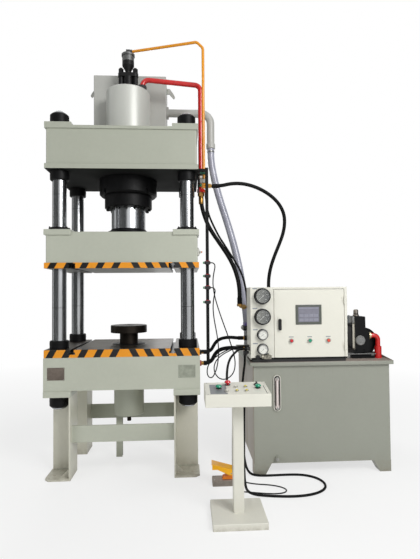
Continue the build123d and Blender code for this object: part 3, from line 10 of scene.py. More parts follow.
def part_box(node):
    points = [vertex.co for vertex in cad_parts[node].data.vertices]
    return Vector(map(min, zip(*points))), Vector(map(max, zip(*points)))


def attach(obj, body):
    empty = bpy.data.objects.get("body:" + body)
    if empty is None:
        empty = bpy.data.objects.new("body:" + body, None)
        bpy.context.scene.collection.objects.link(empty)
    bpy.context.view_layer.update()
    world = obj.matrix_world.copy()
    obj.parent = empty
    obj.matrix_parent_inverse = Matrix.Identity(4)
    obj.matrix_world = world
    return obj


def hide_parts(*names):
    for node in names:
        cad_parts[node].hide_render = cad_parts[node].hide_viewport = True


bl_info = {
    "name": "Four-column press looks",
    "version": (1, 0, 0),
    "blender": (4, 5, 0),
    "location": "View3D > Sidebar > Press",
    "description": "Dresses the packed press with its finishes, hoses, dials, plates and fittings",
    "category": "Object",
}

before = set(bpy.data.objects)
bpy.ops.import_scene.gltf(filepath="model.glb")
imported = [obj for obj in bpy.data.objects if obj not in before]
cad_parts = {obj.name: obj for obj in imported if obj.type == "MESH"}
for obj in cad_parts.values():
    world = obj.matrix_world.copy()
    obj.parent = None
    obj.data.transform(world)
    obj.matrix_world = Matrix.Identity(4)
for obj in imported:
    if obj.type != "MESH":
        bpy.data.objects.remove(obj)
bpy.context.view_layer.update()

UP = (0.0, 0.0, 1.0)
DOWNWARD = (0.0, 0.0, -1.0)
FORWARD = (0.0, -1.0, 0.0)

# Places that several pieces and finishes share, in metres
BED_TOP = 1.0
BED_FACE = -0.402
SLOT_X = 0.385
SLOT_HALF = 0.0245
SLOT_DEPTH = 0.0385
LID_TOP = 0.881
RETURN_NECK = (1.050, 0.120)
BREATHER = (1.319, 0.420)
GAUGE_X = 1.0945
DOOR_BUTTONS = (1.323, 1.471, 1.620)
VALVE_ROWS = (-0.140, -0.090, -0.040)
PANEL_SLOPE = 0.104
PEDAL_Y = -0.537
COLUMNS = [(side * 0.5075, back * 0.3) for side in (-1, 1) for back in (-1, 1)]

# Hose and cable routes, from one end to the other, in metres
MAIN_HOSE_ROUTE = [
    (0.714, -0.220, 2.322), (0.790, -0.220, 2.322), (0.875, -0.219, 2.344), (0.975, -0.208, 2.348),
    (1.070, -0.190, 2.330), (1.160, -0.170, 2.296), (1.240, -0.150, 2.248), (1.305, -0.132, 2.185),
    (1.345, -0.118, 2.108), (1.352, -0.108, 2.020), (1.335, -0.102, 1.930), (1.300, -0.098, 1.840),
    (1.262, -0.096, 1.750), (1.228, -0.095, 1.655), (1.208, -0.094, 1.555), (1.206, -0.092, 1.450),
    (1.226, -0.091, 1.360), (1.256, -0.090, 1.285), (1.256, -0.090, 1.215)]
PRESSURE_HOSE_ROUTE = [
    (0.630, -0.082, 2.264), (0.630, -0.082, 2.222), (0.641, -0.090, 2.150), (0.662, -0.104, 2.075),
    (0.692, -0.114, 2.000), (0.733, -0.122, 1.928), (0.780, -0.132, 1.858), (0.828, -0.145, 1.785),
    (0.873, -0.158, 1.708), (0.908, -0.168, 1.628), (0.932, -0.175, 1.545), (0.944, -0.177, 1.465),
    (0.945, -0.175, 1.395), (0.945, -0.175, 1.336)]
GAUGE_HOSE_ROUTE = [
    (0.672, -0.082, 2.282), (0.672, -0.082, 2.240), (0.676, -0.092, 2.190), (0.684, -0.106, 2.140),
    (0.698, -0.122, 2.085), (0.720, -0.136, 2.028), (0.748, -0.146, 1.966), (0.780, -0.150, 1.903),
    (0.822, -0.157, 1.838), (0.862, -0.164, 1.771), (0.906, -0.169, 1.702), (0.948, -0.170, 1.632),
    (0.983, -0.166, 1.540), (1.004, -0.146, 1.450), (1.016, -0.118, 1.366), (1.024, -0.096, 1.290),
    (1.029, -0.098, 1.226), (1.030, -0.140, 1.195), (1.030, -0.182, 1.195)]
FILL_HOSE_ROUTE = [
    (0.735, 0.250, 2.787), (0.735, 0.250, 2.690), (0.752, 0.248, 2.570), (0.782, 0.240, 2.430),
    (0.822, 0.228, 2.280), (0.868, 0.214, 2.130), (0.912, 0.196, 1.975), (0.952, 0.178, 1.815),
    (0.986, 0.160, 1.650), (1.012, 0.144, 1.480), (1.032, 0.130, 1.310), (1.045, 0.122, 1.160),
    (1.050, 0.120, 1.040), (1.050, 0.120, 0.941)]
EJECTOR_UPPER_ROUTE = [
    (0.640, -0.100, 0.928), (0.668, -0.100, 0.928), (0.694, -0.101, 0.938), (0.713, -0.103, 0.957),
    (0.726, -0.105, 0.981), (0.740, -0.108, 1.005), (0.760, -0.113, 1.026), (0.788, -0.120, 1.042),
    (0.826, -0.131, 1.052), (0.874, -0.145, 1.055), (0.926, -0.160, 1.050), (0.972, -0.160, 1.050)]
EJECTOR_LOWER_ROUTE = [
    (0.640, -0.100, 0.836), (0.670, -0.100, 0.836), (0.697, -0.101, 0.847), (0.716, -0.103, 0.867),
    (0.728, -0.106, 0.892), (0.742, -0.109, 0.916), (0.762, -0.114, 0.937), (0.790, -0.121, 0.953),
    (0.830, -0.131, 0.963), (0.876, -0.144, 0.967), (0.926, -0.160, 0.965), (0.972, -0.160, 0.965)]
SENSOR_LEFT_ROUTE = [
    (0.694, -0.3285, 1.473), (0.708, -0.3285, 1.473), (0.720, -0.3285, 1.468), (0.728, -0.327, 1.457),
    (0.730, -0.325, 1.443), (0.727, -0.322, 1.426), (0.720, -0.317, 1.396), (0.714, -0.311, 1.350),
    (0.713, -0.305, 1.290), (0.722, -0.298, 1.210), (0.738, -0.292, 1.128), (0.752, -0.290, 1.036),
    (0.758, -0.288, 0.950), (0.750, -0.288, 0.870), (0.738, -0.289, 0.812), (0.724, -0.290, 0.784),
    (0.716, -0.290, 0.764), (0.705, -0.290, 0.750), (0.691, -0.290, 0.745), (0.677, -0.287, 0.750),
    (0.667, -0.284, 0.763), (0.662, -0.281, 0.784), (0.663, -0.279, 0.812), (0.671, -0.277, 0.842),
    (0.690, -0.278, 0.872), (0.730, -0.285, 0.910), (0.786, -0.299, 0.948), (0.850, -0.316, 0.980),
    (0.918, -0.330, 1.000), (0.976, -0.330, 1.000)]
SENSOR_RIGHT_ROUTE = [
    (0.694, -0.3285, 1.673), (0.708, -0.3285, 1.673), (0.720, -0.3285, 1.668), (0.728, -0.327, 1.657),
    (0.730, -0.325, 1.643), (0.728, -0.321, 1.625), (0.722, -0.314, 1.596), (0.715, -0.304, 1.550),
    (0.714, -0.292, 1.490), (0.728, -0.281, 1.402), (0.758, -0.276, 1.298), (0.792, -0.273, 1.198),
    (0.826, -0.270, 1.104), (0.856, -0.268, 1.020), (0.880, -0.268, 0.940), (0.894, -0.268, 0.866),
    (0.886, -0.268, 0.792), (0.852, -0.268, 0.744), (0.800, -0.268, 0.722), (0.752, -0.268, 0.738),
    (0.722, -0.268, 0.784), (0.718, -0.268, 0.838), (0.742, -0.266, 0.888), (0.792, -0.266, 0.930),
    (0.856, -0.272, 0.962), (0.920, -0.290, 0.998), (0.976, -0.290, 0.998)]
CONSOLE_CABLE_ROUTE = [
    (0.768, -0.943, 0.797), (0.768, -0.918, 0.797), (0.770, -0.878, 0.812), (0.775, -0.815, 0.842),
    (0.785, -0.730, 0.880), (0.802, -0.640, 0.915), (0.828, -0.560, 0.945), (0.866, -0.488, 0.967),
    (0.896, -0.430, 0.982), (0.920, -0.396, 0.985), (0.948, -0.376, 0.985), (0.976, -0.376, 0.985)]
FLOOR_CABLE_ROUTE = [
    (0.968, -0.300, 0.925), (0.968, -0.300, 0.868), (0.957, -0.301, 0.790), (0.946, -0.302, 0.700),
    (0.939, -0.303, 0.590), (0.938, -0.300, 0.470), (0.941, -0.294, 0.350), (0.946, -0.292, 0.240),
    (0.951, -0.300, 0.150), (0.957, -0.322, 0.080), (0.968, -0.358, 0.034), (0.990, -0.398, 0.012),
    (1.034, -0.428, 0.0095), (1.100, -0.436, 0.009), (1.180, -0.434, 0.009), (1.275, -0.431, 0.009),
    (1.365, -0.436, 0.009), (1.440, -0.466, 0.009), (1.496, -0.526, 0.009), (1.518, -0.608, 0.009),
    (1.498, -0.692, 0.009), (1.434, -0.756, 0.009), (1.344, -0.794, 0.009), (1.240, -0.806, 0.009),
    (1.136, -0.796, 0.009), (1.040, -0.780, 0.010), (0.966, -0.780, 0.020), (0.916, -0.806, 0.052),
    (0.894, -0.846, 0.104), (0.882, -0.884, 0.180), (0.876, -0.914, 0.280), (0.874, -0.934, 0.390),
    (0.873, -0.952, 0.500), (0.872, -0.966, 0.600), (0.873, -0.974, 0.665), (0.873, -0.974, 0.719)]
PEDAL_CABLE_ROUTE = [
    (0.860, -0.537, 0.022), (0.886, -0.537, 0.022), (0.920, -0.545, 0.013), (0.966, -0.560, 0.006),
    (1.024, -0.578, 0.005), (1.090, -0.592, 0.005), (1.152, -0.616, 0.005), (1.200, -0.654, 0.005),
    (1.214, -0.700, 0.005), (1.184, -0.736, 0.005), (1.126, -0.746, 0.005), (1.064, -0.738, 0.005),
    (1.006, -0.724, 0.005), (0.956, -0.712, 0.006), (0.910, -0.716, 0.012), (0.870, -0.738, 0.028),
    (0.840, -0.774, 0.062), (0.820, -0.812, 0.118), (0.808, -0.850, 0.192), (0.803, -0.882, 0.282),
    (0.801, -0.908, 0.380), (0.800, -0.930, 0.490), (0.800, -0.954, 0.590), (0.801, -0.974, 0.668),
    (0.801, -0.974, 0.719)]


def shade(red, green, blue):
    """A colour given as 0 to 255, as the scene-linear value that a socket takes."""
    parts = []
    for part in (red / 255, green / 255, blue / 255):
        parts.append(part / 12.92 if part <= 0.04045 else ((part + 0.055) / 1.055) ** 2.4)
    return (*parts, 1.0)


def times(colour, factor):
    """The same colour, lighter or darker."""
    return (colour[0] * factor, colour[1] * factor, colour[2] * factor, 1.0)


def colour_property(name, description, default):
    return bpy.props.FloatVectorProperty(name=name, description=description, default=default, size=4,
                                         min=0.0, max=1.0, subtype="COLOR")


class PressColours(bpy.types.PropertyGroup):
    """Paint, plastic and metal colours of the press."""
    enamel: colour_property("Enamel", "Grey-green enamel of the press frame", shade(184, 187, 172))
    tank: colour_property("Tank enamel", "Enamel of the oil tank", shade(148, 150, 139))
    # The legs' colour is painted light: the frame's enamel made lighter where light falls on the legs.
    legs: colour_property("Legs", "Cream enamel of the leg frames", shade(208, 206, 191))
    cabinet: colour_property("Cabinet", "Powder coat of the cabinet and the console", shade(226, 224, 212))
    hazard: colour_property("Hazard", "Orange of the hazard stripes", shade(232, 148, 14))
    red: colour_property("Red", "Red of the pressure line", shade(200, 26, 24))
    yellow: colour_property("Yellow", "Yellow of the pilot line", shade(232, 152, 22))
    black: colour_property("Black", "Black oxide of nuts and flanges", shade(17, 17, 18))
    rubber: colour_property("Rubber", "Hoses and cable sheaths", shade(13, 14, 14))
    brass: colour_property("Brass", "Brass of the hose unions", shade(176, 134, 70))
    green_cap: colour_property("Green", "Green button caps", shade(28, 148, 112))
    red_cap: colour_property("Red cap", "Red button caps", shade(206, 28, 44))
    orange_cap: colour_property("Orange cap", "Orange-red button cap", shade(220, 78, 52))
    pedal: colour_property("Pedal", "Yellow of the treadle", shade(246, 178, 14))


class PressStage(bpy.types.PropertyGroup):
    """Camera, lamps and floor."""
    camera_place: bpy.props.FloatVectorProperty(
        name="Camera place", description="Where the camera stands", default=(0.5039, -3.9205, 1.4210),
        subtype="XYZ", unit="LENGTH")
    camera_turn: bpy.props.FloatProperty(
        name="Turn", description="Heading, clockwise from +Y", default=math.radians(3.403), subtype="ANGLE")
    camera_pitch: bpy.props.FloatProperty(
        name="Pitch", description="Tilt above the level", default=math.radians(1.629), subtype="ANGLE")
    camera_roll: bpy.props.FloatProperty(
        name="Roll", description="Lean of the camera", default=math.radians(-0.480), subtype="ANGLE")
    lens: bpy.props.FloatProperty(name="Lens", description="Focal length in millimetres", default=28.81)
    shift: bpy.props.FloatVectorProperty(
        name="Shift", description="Lens shift, right and up", size=2, default=(-0.00637, 0.00327))
    key_power: bpy.props.FloatProperty(
        name="Key lamp", description="Large lamp in front, to the upper right", default=215.0, unit="POWER")
    fill_power: bpy.props.FloatProperty(
        name="Fill lamp", description="Large lamp in front, to the left", default=60.0, unit="POWER")
    rim_power: bpy.props.FloatProperty(
        name="Rear lamp", description="Lamp behind the press", default=80.0, unit="POWER")
    sky: bpy.props.FloatProperty(name="Room light", description="Even light from all sides", default=0.42)


class PressSizes(bpy.types.PropertyGroup):
    """Sizes of the pieces that dress the press."""
    bed_stripes: bpy.props.FloatVectorProperty(
        name="Bed stripes", description="From one stripe to the next on the bed's left and right half",
        size=2, default=(0.1205, 0.1145), unit="LENGTH")
    slide_stripes: bpy.props.FloatVectorProperty(
        name="Slide stripes", description="From one stripe to the next on the slide's left and right half",
        size=2, default=(0.122, 0.107), unit="LENGTH")
    stripe_black: bpy.props.FloatProperty(
        name="Black stripe", description="Width of a black stripe", default=0.053, unit="LENGTH")
    stripe_slope: bpy.props.FloatProperty(
        name="Stripe slope", description="Sideways lean for each unit of height", default=0.55)
    plate_thick: bpy.props.FloatProperty(
        name="Plate", description="Thickness of the bare plates", default=0.0015, unit="LENGTH")
    rivet: bpy.props.FloatProperty(
        name="Rivet", description="Radius of a plate's rivets", default=0.003, unit="LENGTH")


# Shader building


class Socket:
    """A node's output that takes part in sums: each operator adds the Math node that it needs."""

    def __init__(self, shader, output):
        self.shader = shader
        self.output = output

    def worked(self, operation, first, second=0.0):
        return self.shader.node("ShaderNodeMath", {"operation": operation}, {0: first, 1: second})

    def __add__(self, other):
        return self.worked("ADD", self, other)

    def __radd__(self, other):
        return self.worked("ADD", other, self)

    def __sub__(self, other):
        return self.worked("SUBTRACT", self, other)

    def __rsub__(self, other):
        return self.worked("SUBTRACT", other, self)

    def __mul__(self, other):
        return self.worked("MULTIPLY", self, other)

    def __rmul__(self, other):
        return self.worked("MULTIPLY", other, self)

    def __truediv__(self, other):
        return self.worked("DIVIDE", self, other)

    def __pow__(self, other):
        return self.worked("POWER", self, other)

    def __mod__(self, other):
        return self.worked("FLOORED_MODULO", self, other)

    def __gt__(self, other):
        return self.worked("GREATER_THAN", self, other)

    def __lt__(self, other):
        return self.worked("LESS_THAN", self, other)

    def __abs__(self):
        return self.worked("ABSOLUTE", self)

    def clamped(self):
        """The value held between 0 and 1."""
        return self.shader.node("ShaderNodeClamp", {}, {"Value": self})

    def within(self, low, high):
        """1 between two values, 0 outside them."""
        return (self > low) * (self < high)


class Shader:
    """One procedural material, built from values and sums."""

    def __init__(self, name):
        self.material = bpy.data.materials.new(name)
        self.material.use_nodes = True
        self.tree = self.material.node_tree
        self.tree.nodes.clear()
        self.spot = self.node("ShaderNodeTexCoord", output="Object")
        self.x, self.y, self.z = self.split(self.spot)
        self.face_x, self.face_y, self.face_z = self.split(self.node("ShaderNodeTexCoord", output="Normal"))

    def node(self, kind, settings=None, sockets=None, output=0):
        """Adds a node: its settings first, then the values or links of its sockets."""
        node = self.tree.nodes.new(kind)
        for key, value in (settings or {}).items():
            if key == "stops":
                self.set_stops(node.color_ramp, value)
            else:
                setattr(node, key, value)
        for key, value in (sockets or {}).items():
            if isinstance(value, Socket):
                self.tree.links.new(value.output, node.inputs[key])
            else:
                node.inputs[key].default_value = value
        return Socket(self, node.outputs[output]) if node.outputs else None

    @staticmethod
    def set_stops(ramp, stops):
        while len(ramp.elements) > 1:
            ramp.elements.remove(ramp.elements[-1])
        for index, (place, colour) in enumerate(stops):
            stop = ramp.elements[0] if index == 0 else ramp.elements.new(place)
            stop.position = place
            stop.color = colour

    def split(self, vector):
        node = self.tree.nodes.new("ShaderNodeSeparateXYZ")
        self.tree.links.new(vector.output, node.inputs[0])
        return tuple(Socket(self, output) for output in node.outputs)

    def noise(self, scale, detail=2.0, roughness=0.5, spot=None):
        sockets = {"Vector": spot or self.spot, "Scale": scale, "Detail": detail, "Roughness": roughness}
        return self.node("ShaderNodeTexNoise", {}, sockets)

    def stretched(self, x, y, z):
        """Object coordinates drawn out, for marks that run one way."""
        return self.node("ShaderNodeMapping", {}, {"Vector": self.spot, "Scale": (x, y, z)})

    def mix(self, factor, first, second):
        return self.node("ShaderNodeMix", {"data_type": "RGBA"}, {0: factor, 6: first, 7: second}, output=2)

    def bump(self, height, strength, distance):
        return self.node("ShaderNodeBump", {}, {"Strength": strength, "Distance": distance, "Height": height})

    def surface(self, colour, roughness, metallic=0.0, bump=None, **fixed):
        """Closes the material with its Principled shader."""
        sockets = {"Base Color": colour, "Roughness": roughness, "Metallic": metallic}
        if bump is not None:
            sockets["Normal"] = bump
        for key, value in fixed.items():
            sockets[key.replace("_", " ").title().replace("Ior", "IOR")] = value
        closure = self.node("ShaderNodeBsdfPrincipled", {}, sockets)
        self.node("ShaderNodeOutputMaterial", {}, {"Surface": closure})
        return self.material


made = {}


def finish(name):
    """The material of that name, made the first time it is asked for."""
    if name not in made:
        made[name] = FINISHES[name](name)
    return made[name]


def paint(name, factor=1.0):
    """One of the press's own colours, lighter or darker."""
    return times(tuple(getattr(bpy.context.scene.press_colours, name)), factor)


def mottled(shader, colour, depth=0.09):
    """Paint that isn't quite even: broad clouds and small flecks of a darker tone."""
    broad = shader.noise(1.6, 3.0, 0.55)
    flecks = shader.noise(38.0, 4.0, 0.7)
    tone = (broad * 0.7 + flecks * 0.3 - 0.32) * 2.4
    return shader.mix(tone.clamped(), times(colour, 1.0 - depth), times(colour, 1.0 + depth * 0.4))


def orange_peel(shader, strength=0.12):
    return shader.bump(shader.noise(330.0, 2.0, 0.5), strength, 0.0006)


def satin(shader, least=0.36, spread=0.14):
    """Roughness of a paint that is duller in places."""
    return least + shader.noise(7.0, 3.0) * spread


def dusty(shader, colour, top):
    """Dust and scuffs that thin out above the floor."""
    fade = ((top - shader.z) / top).clamped()
    patches = (shader.noise(22.0, 5.0, 0.7) * 2.2 - 0.6).clamped()
    return shader.mix(fade * fade * patches * 0.75, colour, shade(132, 122, 104))


def enamel(name):
    """Grey-green enamel, scuffed low down."""
    shader = Shader(name)
    base = dusty(shader, mottled(shader, paint("enamel")), 0.16)
    scratches = shader.noise(90.0, 2.0, 0.5, shader.stretched(0.15, 0.15, 3.0))
    gloss = satin(shader, 0.34, 0.16) + scratches * 0.04
    return shader.surface(base, gloss, bump=orange_peel(shader), coat_weight=0.18, coat_roughness=0.2)


def steel_top(shader):
    """Oiled machined steel: brown film, darker patches and cutter marks."""
    film = shader.noise(3.4, 6.0, 0.62)
    marks = shader.noise(160.0, 2.0, 0.5, shader.stretched(0.04, 1.0, 1.0))
    colour = shader.mix((film * 2.4 - 0.7).clamped(), shade(36, 31, 25), shade(92, 84, 73))
    return shader.mix((marks * 0.5).clamped(), colour, shade(56, 48, 40))


def striped(shader, middle, start, z_mid, periods):
    """Orange paint with black stripes that lean to the middle, the first one at the start's reach from it."""
    sizes = bpy.context.scene.press_sizes
    period = (shader.x > middle) * (periods[1] - periods[0]) + periods[0]
    along = abs(shader.x - middle) + (shader.z - z_mid) * sizes.stripe_slope - start
    black = (along > 0.0) * ((along % period) < sizes.stripe_black)
    scuffed = (shader.noise(26.0, 5.0, 0.75) * 3.2 - 1.75).clamped() * 0.35
    orange = shader.mix(shader.noise(5.0, 3.0), paint("hazard", 0.92), paint("hazard"))
    colour = shader.mix(black, orange, shade(7, 7, 7))
    return shader.mix(scuffed * (1.0 - black * 0.6), colour, shade(120, 92, 52))


def bed_finish(name):
    """Enamel body, hazard band on the front edge and an oiled machined top."""
    shader = Shader(name)
    base = dusty(shader, mottled(shader, paint("enamel")), 0.16)
    front = (shader.face_y < -0.5) * (shader.z > BED_TOP - 0.062 + 0.001) * (shader.y < -0.396)
    periods = bpy.context.scene.press_sizes.bed_stripes
    colour = shader.mix(front, base, striped(shader, 0.015, 0.0495, BED_TOP - 0.031, periods))
    beside_slot = abs(abs(shader.x) - SLOT_X)
    shaded_slot = (beside_slot < SLOT_HALF) * (shader.z > BED_TOP - SLOT_DEPTH) * (abs(shader.y) < 0.3985)
    level = (shader.face_z > 0.5) * (shader.z > BED_TOP - 0.001)
    bare = (level + shaded_slot).clamped()
    colour = shader.mix(level, colour, steel_top(shader))
    # Painted shade: the inside of the T-slots near black.
    colour = shader.mix(shaded_slot * (1.0 - level), colour, shade(9, 8, 7))
    port = (shader.x > 0.6021) * (abs(shader.y + 0.1) < 0.036)
    brass_part = port * (shader.x > 0.6215)
    nut_dark = port * (shader.z > 0.88) * (1.0 - brass_part)
    nut_red = port * (shader.z < 0.88) * (1.0 - brass_part)
    colour = shader.mix(nut_dark, colour, shade(30, 30, 30))
    colour = shader.mix(nut_red, colour, shade(168, 34, 30))
    colour = shader.mix(brass_part, colour, paint("brass"))
    metal = (bare * 0.75 + brass_part).clamped()
    return shader.surface(colour, satin(shader) - bare * 0.08, metal, orange_peel(shader), coat_weight=0.12,
                          coat_roughness=0.2)


def slide_finish(name):
    """Enamel body, hazard band on the front edge of its plate and a machined underside."""
    shader = Shader(name)
    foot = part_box("slide")[0].z
    base = mottled(shader, paint("enamel", 0.94))
    front = (shader.face_y < -0.5) * (shader.z < foot + 0.0445)
    periods = bpy.context.scene.press_sizes.slide_stripes
    colour = shader.mix(front, base, striped(shader, 0.029, 0.0495, foot + 0.0225, periods))
    shaded_slot = (abs(abs(shader.x) - SLOT_X) < SLOT_HALF) * (shader.z < foot + SLOT_DEPTH)
    bare = ((shader.face_z < -0.5) * (shader.z < foot + 0.03) + shaded_slot).clamped()
    machined = shader.mix(shader.noise(6.0, 4.0), shade(86, 84, 78), shade(150, 148, 140))
    colour = shader.mix(bare, colour, machined)
    # Painted shade: the inside of the T-slots near black.
    colour = shader.mix(shaded_slot, colour, shade(9, 8, 7))
    return shader.surface(colour, satin(shader), bare * 0.7, orange_peel(shader), coat_weight=0.15,
                          coat_roughness=0.2)


def crosshead_finish(name):
    """Enamel, a little darker than below, with painted shade underneath: its underside near black."""
    shader = Shader(name)
    base = mottled(shader, paint("enamel", 0.84))
    under = (shader.face_z < -0.5) * (shader.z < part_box("crosshead")[0].z + 0.01)
    # Painted shade: the underside near black, as it lies in deep shadow.
    painted_underside_shade = shader.mix(shader.noise(4.0, 4.0), shade(6, 8, 8), shade(20, 22, 20))
    colour = shader.mix(under, base, painted_underside_shade)
    return shader.surface(colour, satin(shader, 0.34) + under * 0.4, bump=orange_peel(shader),
                          coat_weight=0.15 - under * 0.15, coat_roughness=0.2, specular_ior_level=0.3)


def tank_finish(name):
    """Grey tank enamel, stained by oil on its left wall and below the lid."""
    shader = Shader(name)
    base = dusty(shader, mottled(shader, paint("tank"), 0.07), 0.2)
    side = (shader.face_x < -0.5) * (shader.x < 1.03)
    streaks = (shader.noise(18.0, 4.0, 0.6, shader.stretched(1.0, 1.0, 0.08)) * 2.6 - 0.9).clamped()
    colour = shader.mix(side * (0.45 + streaks * 0.5), base, shade(136, 116, 92))
    runs = (shader.noise(30.0, 3.0, 0.6, shader.stretched(1.0, 1.0, 0.05)) * 3.0 - 1.75).clamped()
    colour = shader.mix(runs * ((shader.z - 0.55) * 3.0).clamped() * 0.35, colour, shade(112, 104, 86))
    return shader.surface(colour, 0.4 + streaks * 0.08, bump=orange_peel(shader), coat_weight=0.12,
                          coat_roughness=0.25)


def lid_finish(name):
    """Lid: tank enamel outside, black round the inner faces of its walls and an oil-stained tray."""
    shader = Shader(name)
    base = mottled(shader, paint("tank"), 0.07)
    tray = (shader.face_z > 0.5) * (shader.z < 0.9)
    stain = shader.mix(shader.noise(4.5, 5.0, 0.6), shade(118, 106, 98), shade(168, 156, 146))
    colour = shader.mix(tray, base, stain)
    inside_x = abs(shader.x - 1.569) < 0.5605
    inside_y = abs(shader.y - 0.095) < 0.5105
    # Upright faces inside the lid's edges are black between these two heights.
    dark_band = inside_x * inside_y * (abs(shader.face_z) < 0.5) * shader.z.within(0.8815, 0.906)
    colour = shader.mix(dark_band, colour, shade(26, 26, 26))
    flange = (shader.z > 0.882) * inside_x * inside_y * (1.0 - dark_band)
    return shader.surface(colour, 0.42 - flange * 0.06, bump=orange_peel(shader))


def powder_coat(shader, colour, roughness=0.42, metallic=0.0):
    """Closes a powder-coated finish with its fine texture."""
    grain = shader.bump(shader.noise(520.0, 2.0, 0.6), 0.1, 0.0004)
    return shader.surface(colour, roughness, metallic, grain, coat_weight=0.1, coat_roughness=0.3)


def cabinet_finish(name):
    """Cream powder coat."""
    shader = Shader(name)
    base = mottled(shader, paint("cabinet"), 0.04)
    return powder_coat(shader, base, 0.42 + shader.noise(9.0, 3.0) * 0.1)


def cabinet_box_finish(name):
    """Powder coat, with the plinth black as painted shade under the cabinet, the glands on the left wall in
    black, and the unions in brass.
    """
    shader = Shader(name)
    # Painted shade: the cabinet black below its bottom edge, for the shadow gap under it.
    shaded_plinth = (shader.z < 0.9048)
    colour = shader.mix(shaded_plinth, mottled(shader, paint("cabinet"), 0.04), shade(30, 30, 30))
    gland = (shader.x < 0.9995)
    colour = shader.mix(gland, colour, shade(34, 34, 35))
    union = (shader.y > -0.2055)
    colour = shader.mix(union, colour, paint("brass"))
    return powder_coat(shader, colour, 0.44, (union * 0.9).clamped())


def console_finish(name):
    """Powder coat, with the grey field round the left palm button and dark glands below."""
    shader = Shader(name)
    field = (shader.face_z > 0.6) * shader.x.within(0.642, 0.748) * shader.y.within(-1.194, -1.006)
    colour = shader.mix(field, mottled(shader, paint("cabinet"), 0.04), shade(126, 128, 130))
    gland = (shader.z < 0.7345)
    rear = (shader.y > -0.9605)
    return powder_coat(shader, shader.mix((gland + rear).clamped(), colour, shade(30, 30, 30)))


def stand_finish(name):
    """Powder-coated pole on a scuffed floor plate."""
    shader = Shader(name)
    base = dusty(shader, mottled(shader, paint("cabinet", 0.97), 0.05), 0.05)
    return shader.surface(base, 0.4, bump=orange_peel(shader), coat_weight=0.12, coat_roughness=0.25)


def travel_marks(shader, dark, pale):
    """Faint marks along a polished rod, and the chrome that they show in."""
    wear = shader.noise(24.0, 4.0, 0.6, shader.stretched(1.0, 1.0, 0.06))
    return wear, shader.mix((wear * 1.6 - 0.4).clamped(), dark, pale)


def chrome(name):
    """Hard chrome with faint travel marks and two scribed rings."""
    shader = Shader(name)
    wear, base = travel_marks(shader, shade(156, 158, 160), shade(196, 198, 200))
    rings = (abs(shader.z - 2.2200) < 0.0018) + (abs(shader.z - 1.3230) < 0.0018)
    colour = shader.mix(rings.clamped() * 0.75, base, shade(40, 40, 40))
    return shader.surface(colour, 0.2 + wear * 0.1, 1.0)


def ram_finish(name):
    """Polished ram with a black bolted flange."""
    shader = Shader(name)
    wear, base = travel_marks(shader, shade(160, 162, 164), shade(200, 202, 204))
    flange = (shader.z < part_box("ram")[0].z + 0.0455)
    colour = shader.mix(flange, base, shade(26, 26, 27))
    return shader.surface(colour, 0.2 + wear * 0.08 + flange * 0.3, 1.0 - flange)


def black_oxide(name):
    """Blackened, oiled steel."""
    shader = Shader(name)
    tone = shader.noise(34.0, 4.0, 0.65)
    base = shader.mix(tone, paint("black", 0.4), paint("black", 1.3))
    return shader.surface(base, 0.36 + tone * 0.2, bump=shader.bump(shader.noise(240.0, 2.0), 0.1, 0.0005),
                          specular_ior_level=0.14)


def turned_dark(name):
    """Dark turned steel: rings of cutter marks on the faces."""
    shader = Shader(name)
    out = (shader.x * shader.x + shader.y * shader.y) ** 0.5
    marks = shader.node("ShaderNodeMath", {"operation": "SINE"}, {0: out * 5200.0})
    tone = shader.noise(12.0, 4.0, 0.6)
    base = shader.mix(tone, shade(22, 19, 16), shade(52, 46, 40))
    return shader.surface(base, 0.34 + tone * 0.12, 0.7, shader.bump(marks, 0.06, 0.0003),
                          specular_ior_level=0.2)


def grey_enamel(name):
    """Plain grey enamel of the fill tank."""
    shader = Shader(name)
    return shader.surface(mottled(shader, shade(182, 182, 176)), satin(shader), bump=orange_peel(shader),
                          coat_weight=0.15, coat_roughness=0.2)


def leg_enamel(name):
    """Legs in pale cream, painted light on the frame's enamel, scuffed near the floor; the stretcher has the
    frame's enamel.
    """
    shader = Shader(name)
    stretcher = (abs(shader.x) < 0.396) * shader.z.within(0.27, 0.42)
    # Painted light: the legs lighter than the frame's enamel; the stretcher keeps the enamel.
    base = shader.mix(stretcher, mottled(shader, paint("legs")), mottled(shader, paint("enamel")))
    base = dusty(shader, base, 0.14)
    return shader.surface(base, satin(shader), bump=orange_peel(shader), coat_weight=0.12,
                          coat_roughness=0.25)


def valve_steel(name):
    """Blackened prefill valve with the brighter turned body of its pilot cylinder."""
    shader = Shader(name)
    tone = shader.noise(34.0, 4.0, 0.65)
    dark = shader.mix(tone, paint("black", 0.5), paint("black", 1.6))
    bright = shader.mix(tone, shade(84, 85, 86), shade(132, 133, 132))
    turned_part = shader.z.within(3.468, 3.536)
    colour = shader.mix(turned_part, dark, bright)
    return shader.surface(colour, 0.34 + tone * 0.12, turned_part * 0.8, specular_ior_level=0.25)


def pipe_gloss(shader, colour, roughness, metallic, bump=None):
    """Closes a glossy pipe enamel."""
    return shader.surface(colour, roughness, metallic, bump, coat_weight=0.3, coat_roughness=0.08)


def pipe_paint(name):
    """Red pipe enamel; the nut and the boss at its foot are brass and its upper union is dark."""
    shader = Shader(name)
    base = shader.mix(shader.noise(18.0, 3.0), paint("red", 0.82), paint("red", 1.06))
    brass_nut = (shader.z < 2.2955) * (shader.x < 0.6605)
    boss = (shader.x > 0.6605) * (shader.z < 2.3235)
    brass_part = (brass_nut + boss).clamped()
    dark = ((shader.z > 3.1895) * (shader.z < 3.2245) * (shader.x < 0.172)).clamped()
    base = shader.mix(brass_part, base, paint("brass"))
    base = shader.mix(dark * (shader.x < 0.17), base, shade(26, 26, 27))
    return pipe_gloss(shader, base, 0.24 + dark * 0.2, brass_part * 0.9, orange_peel(shader, 0.06))


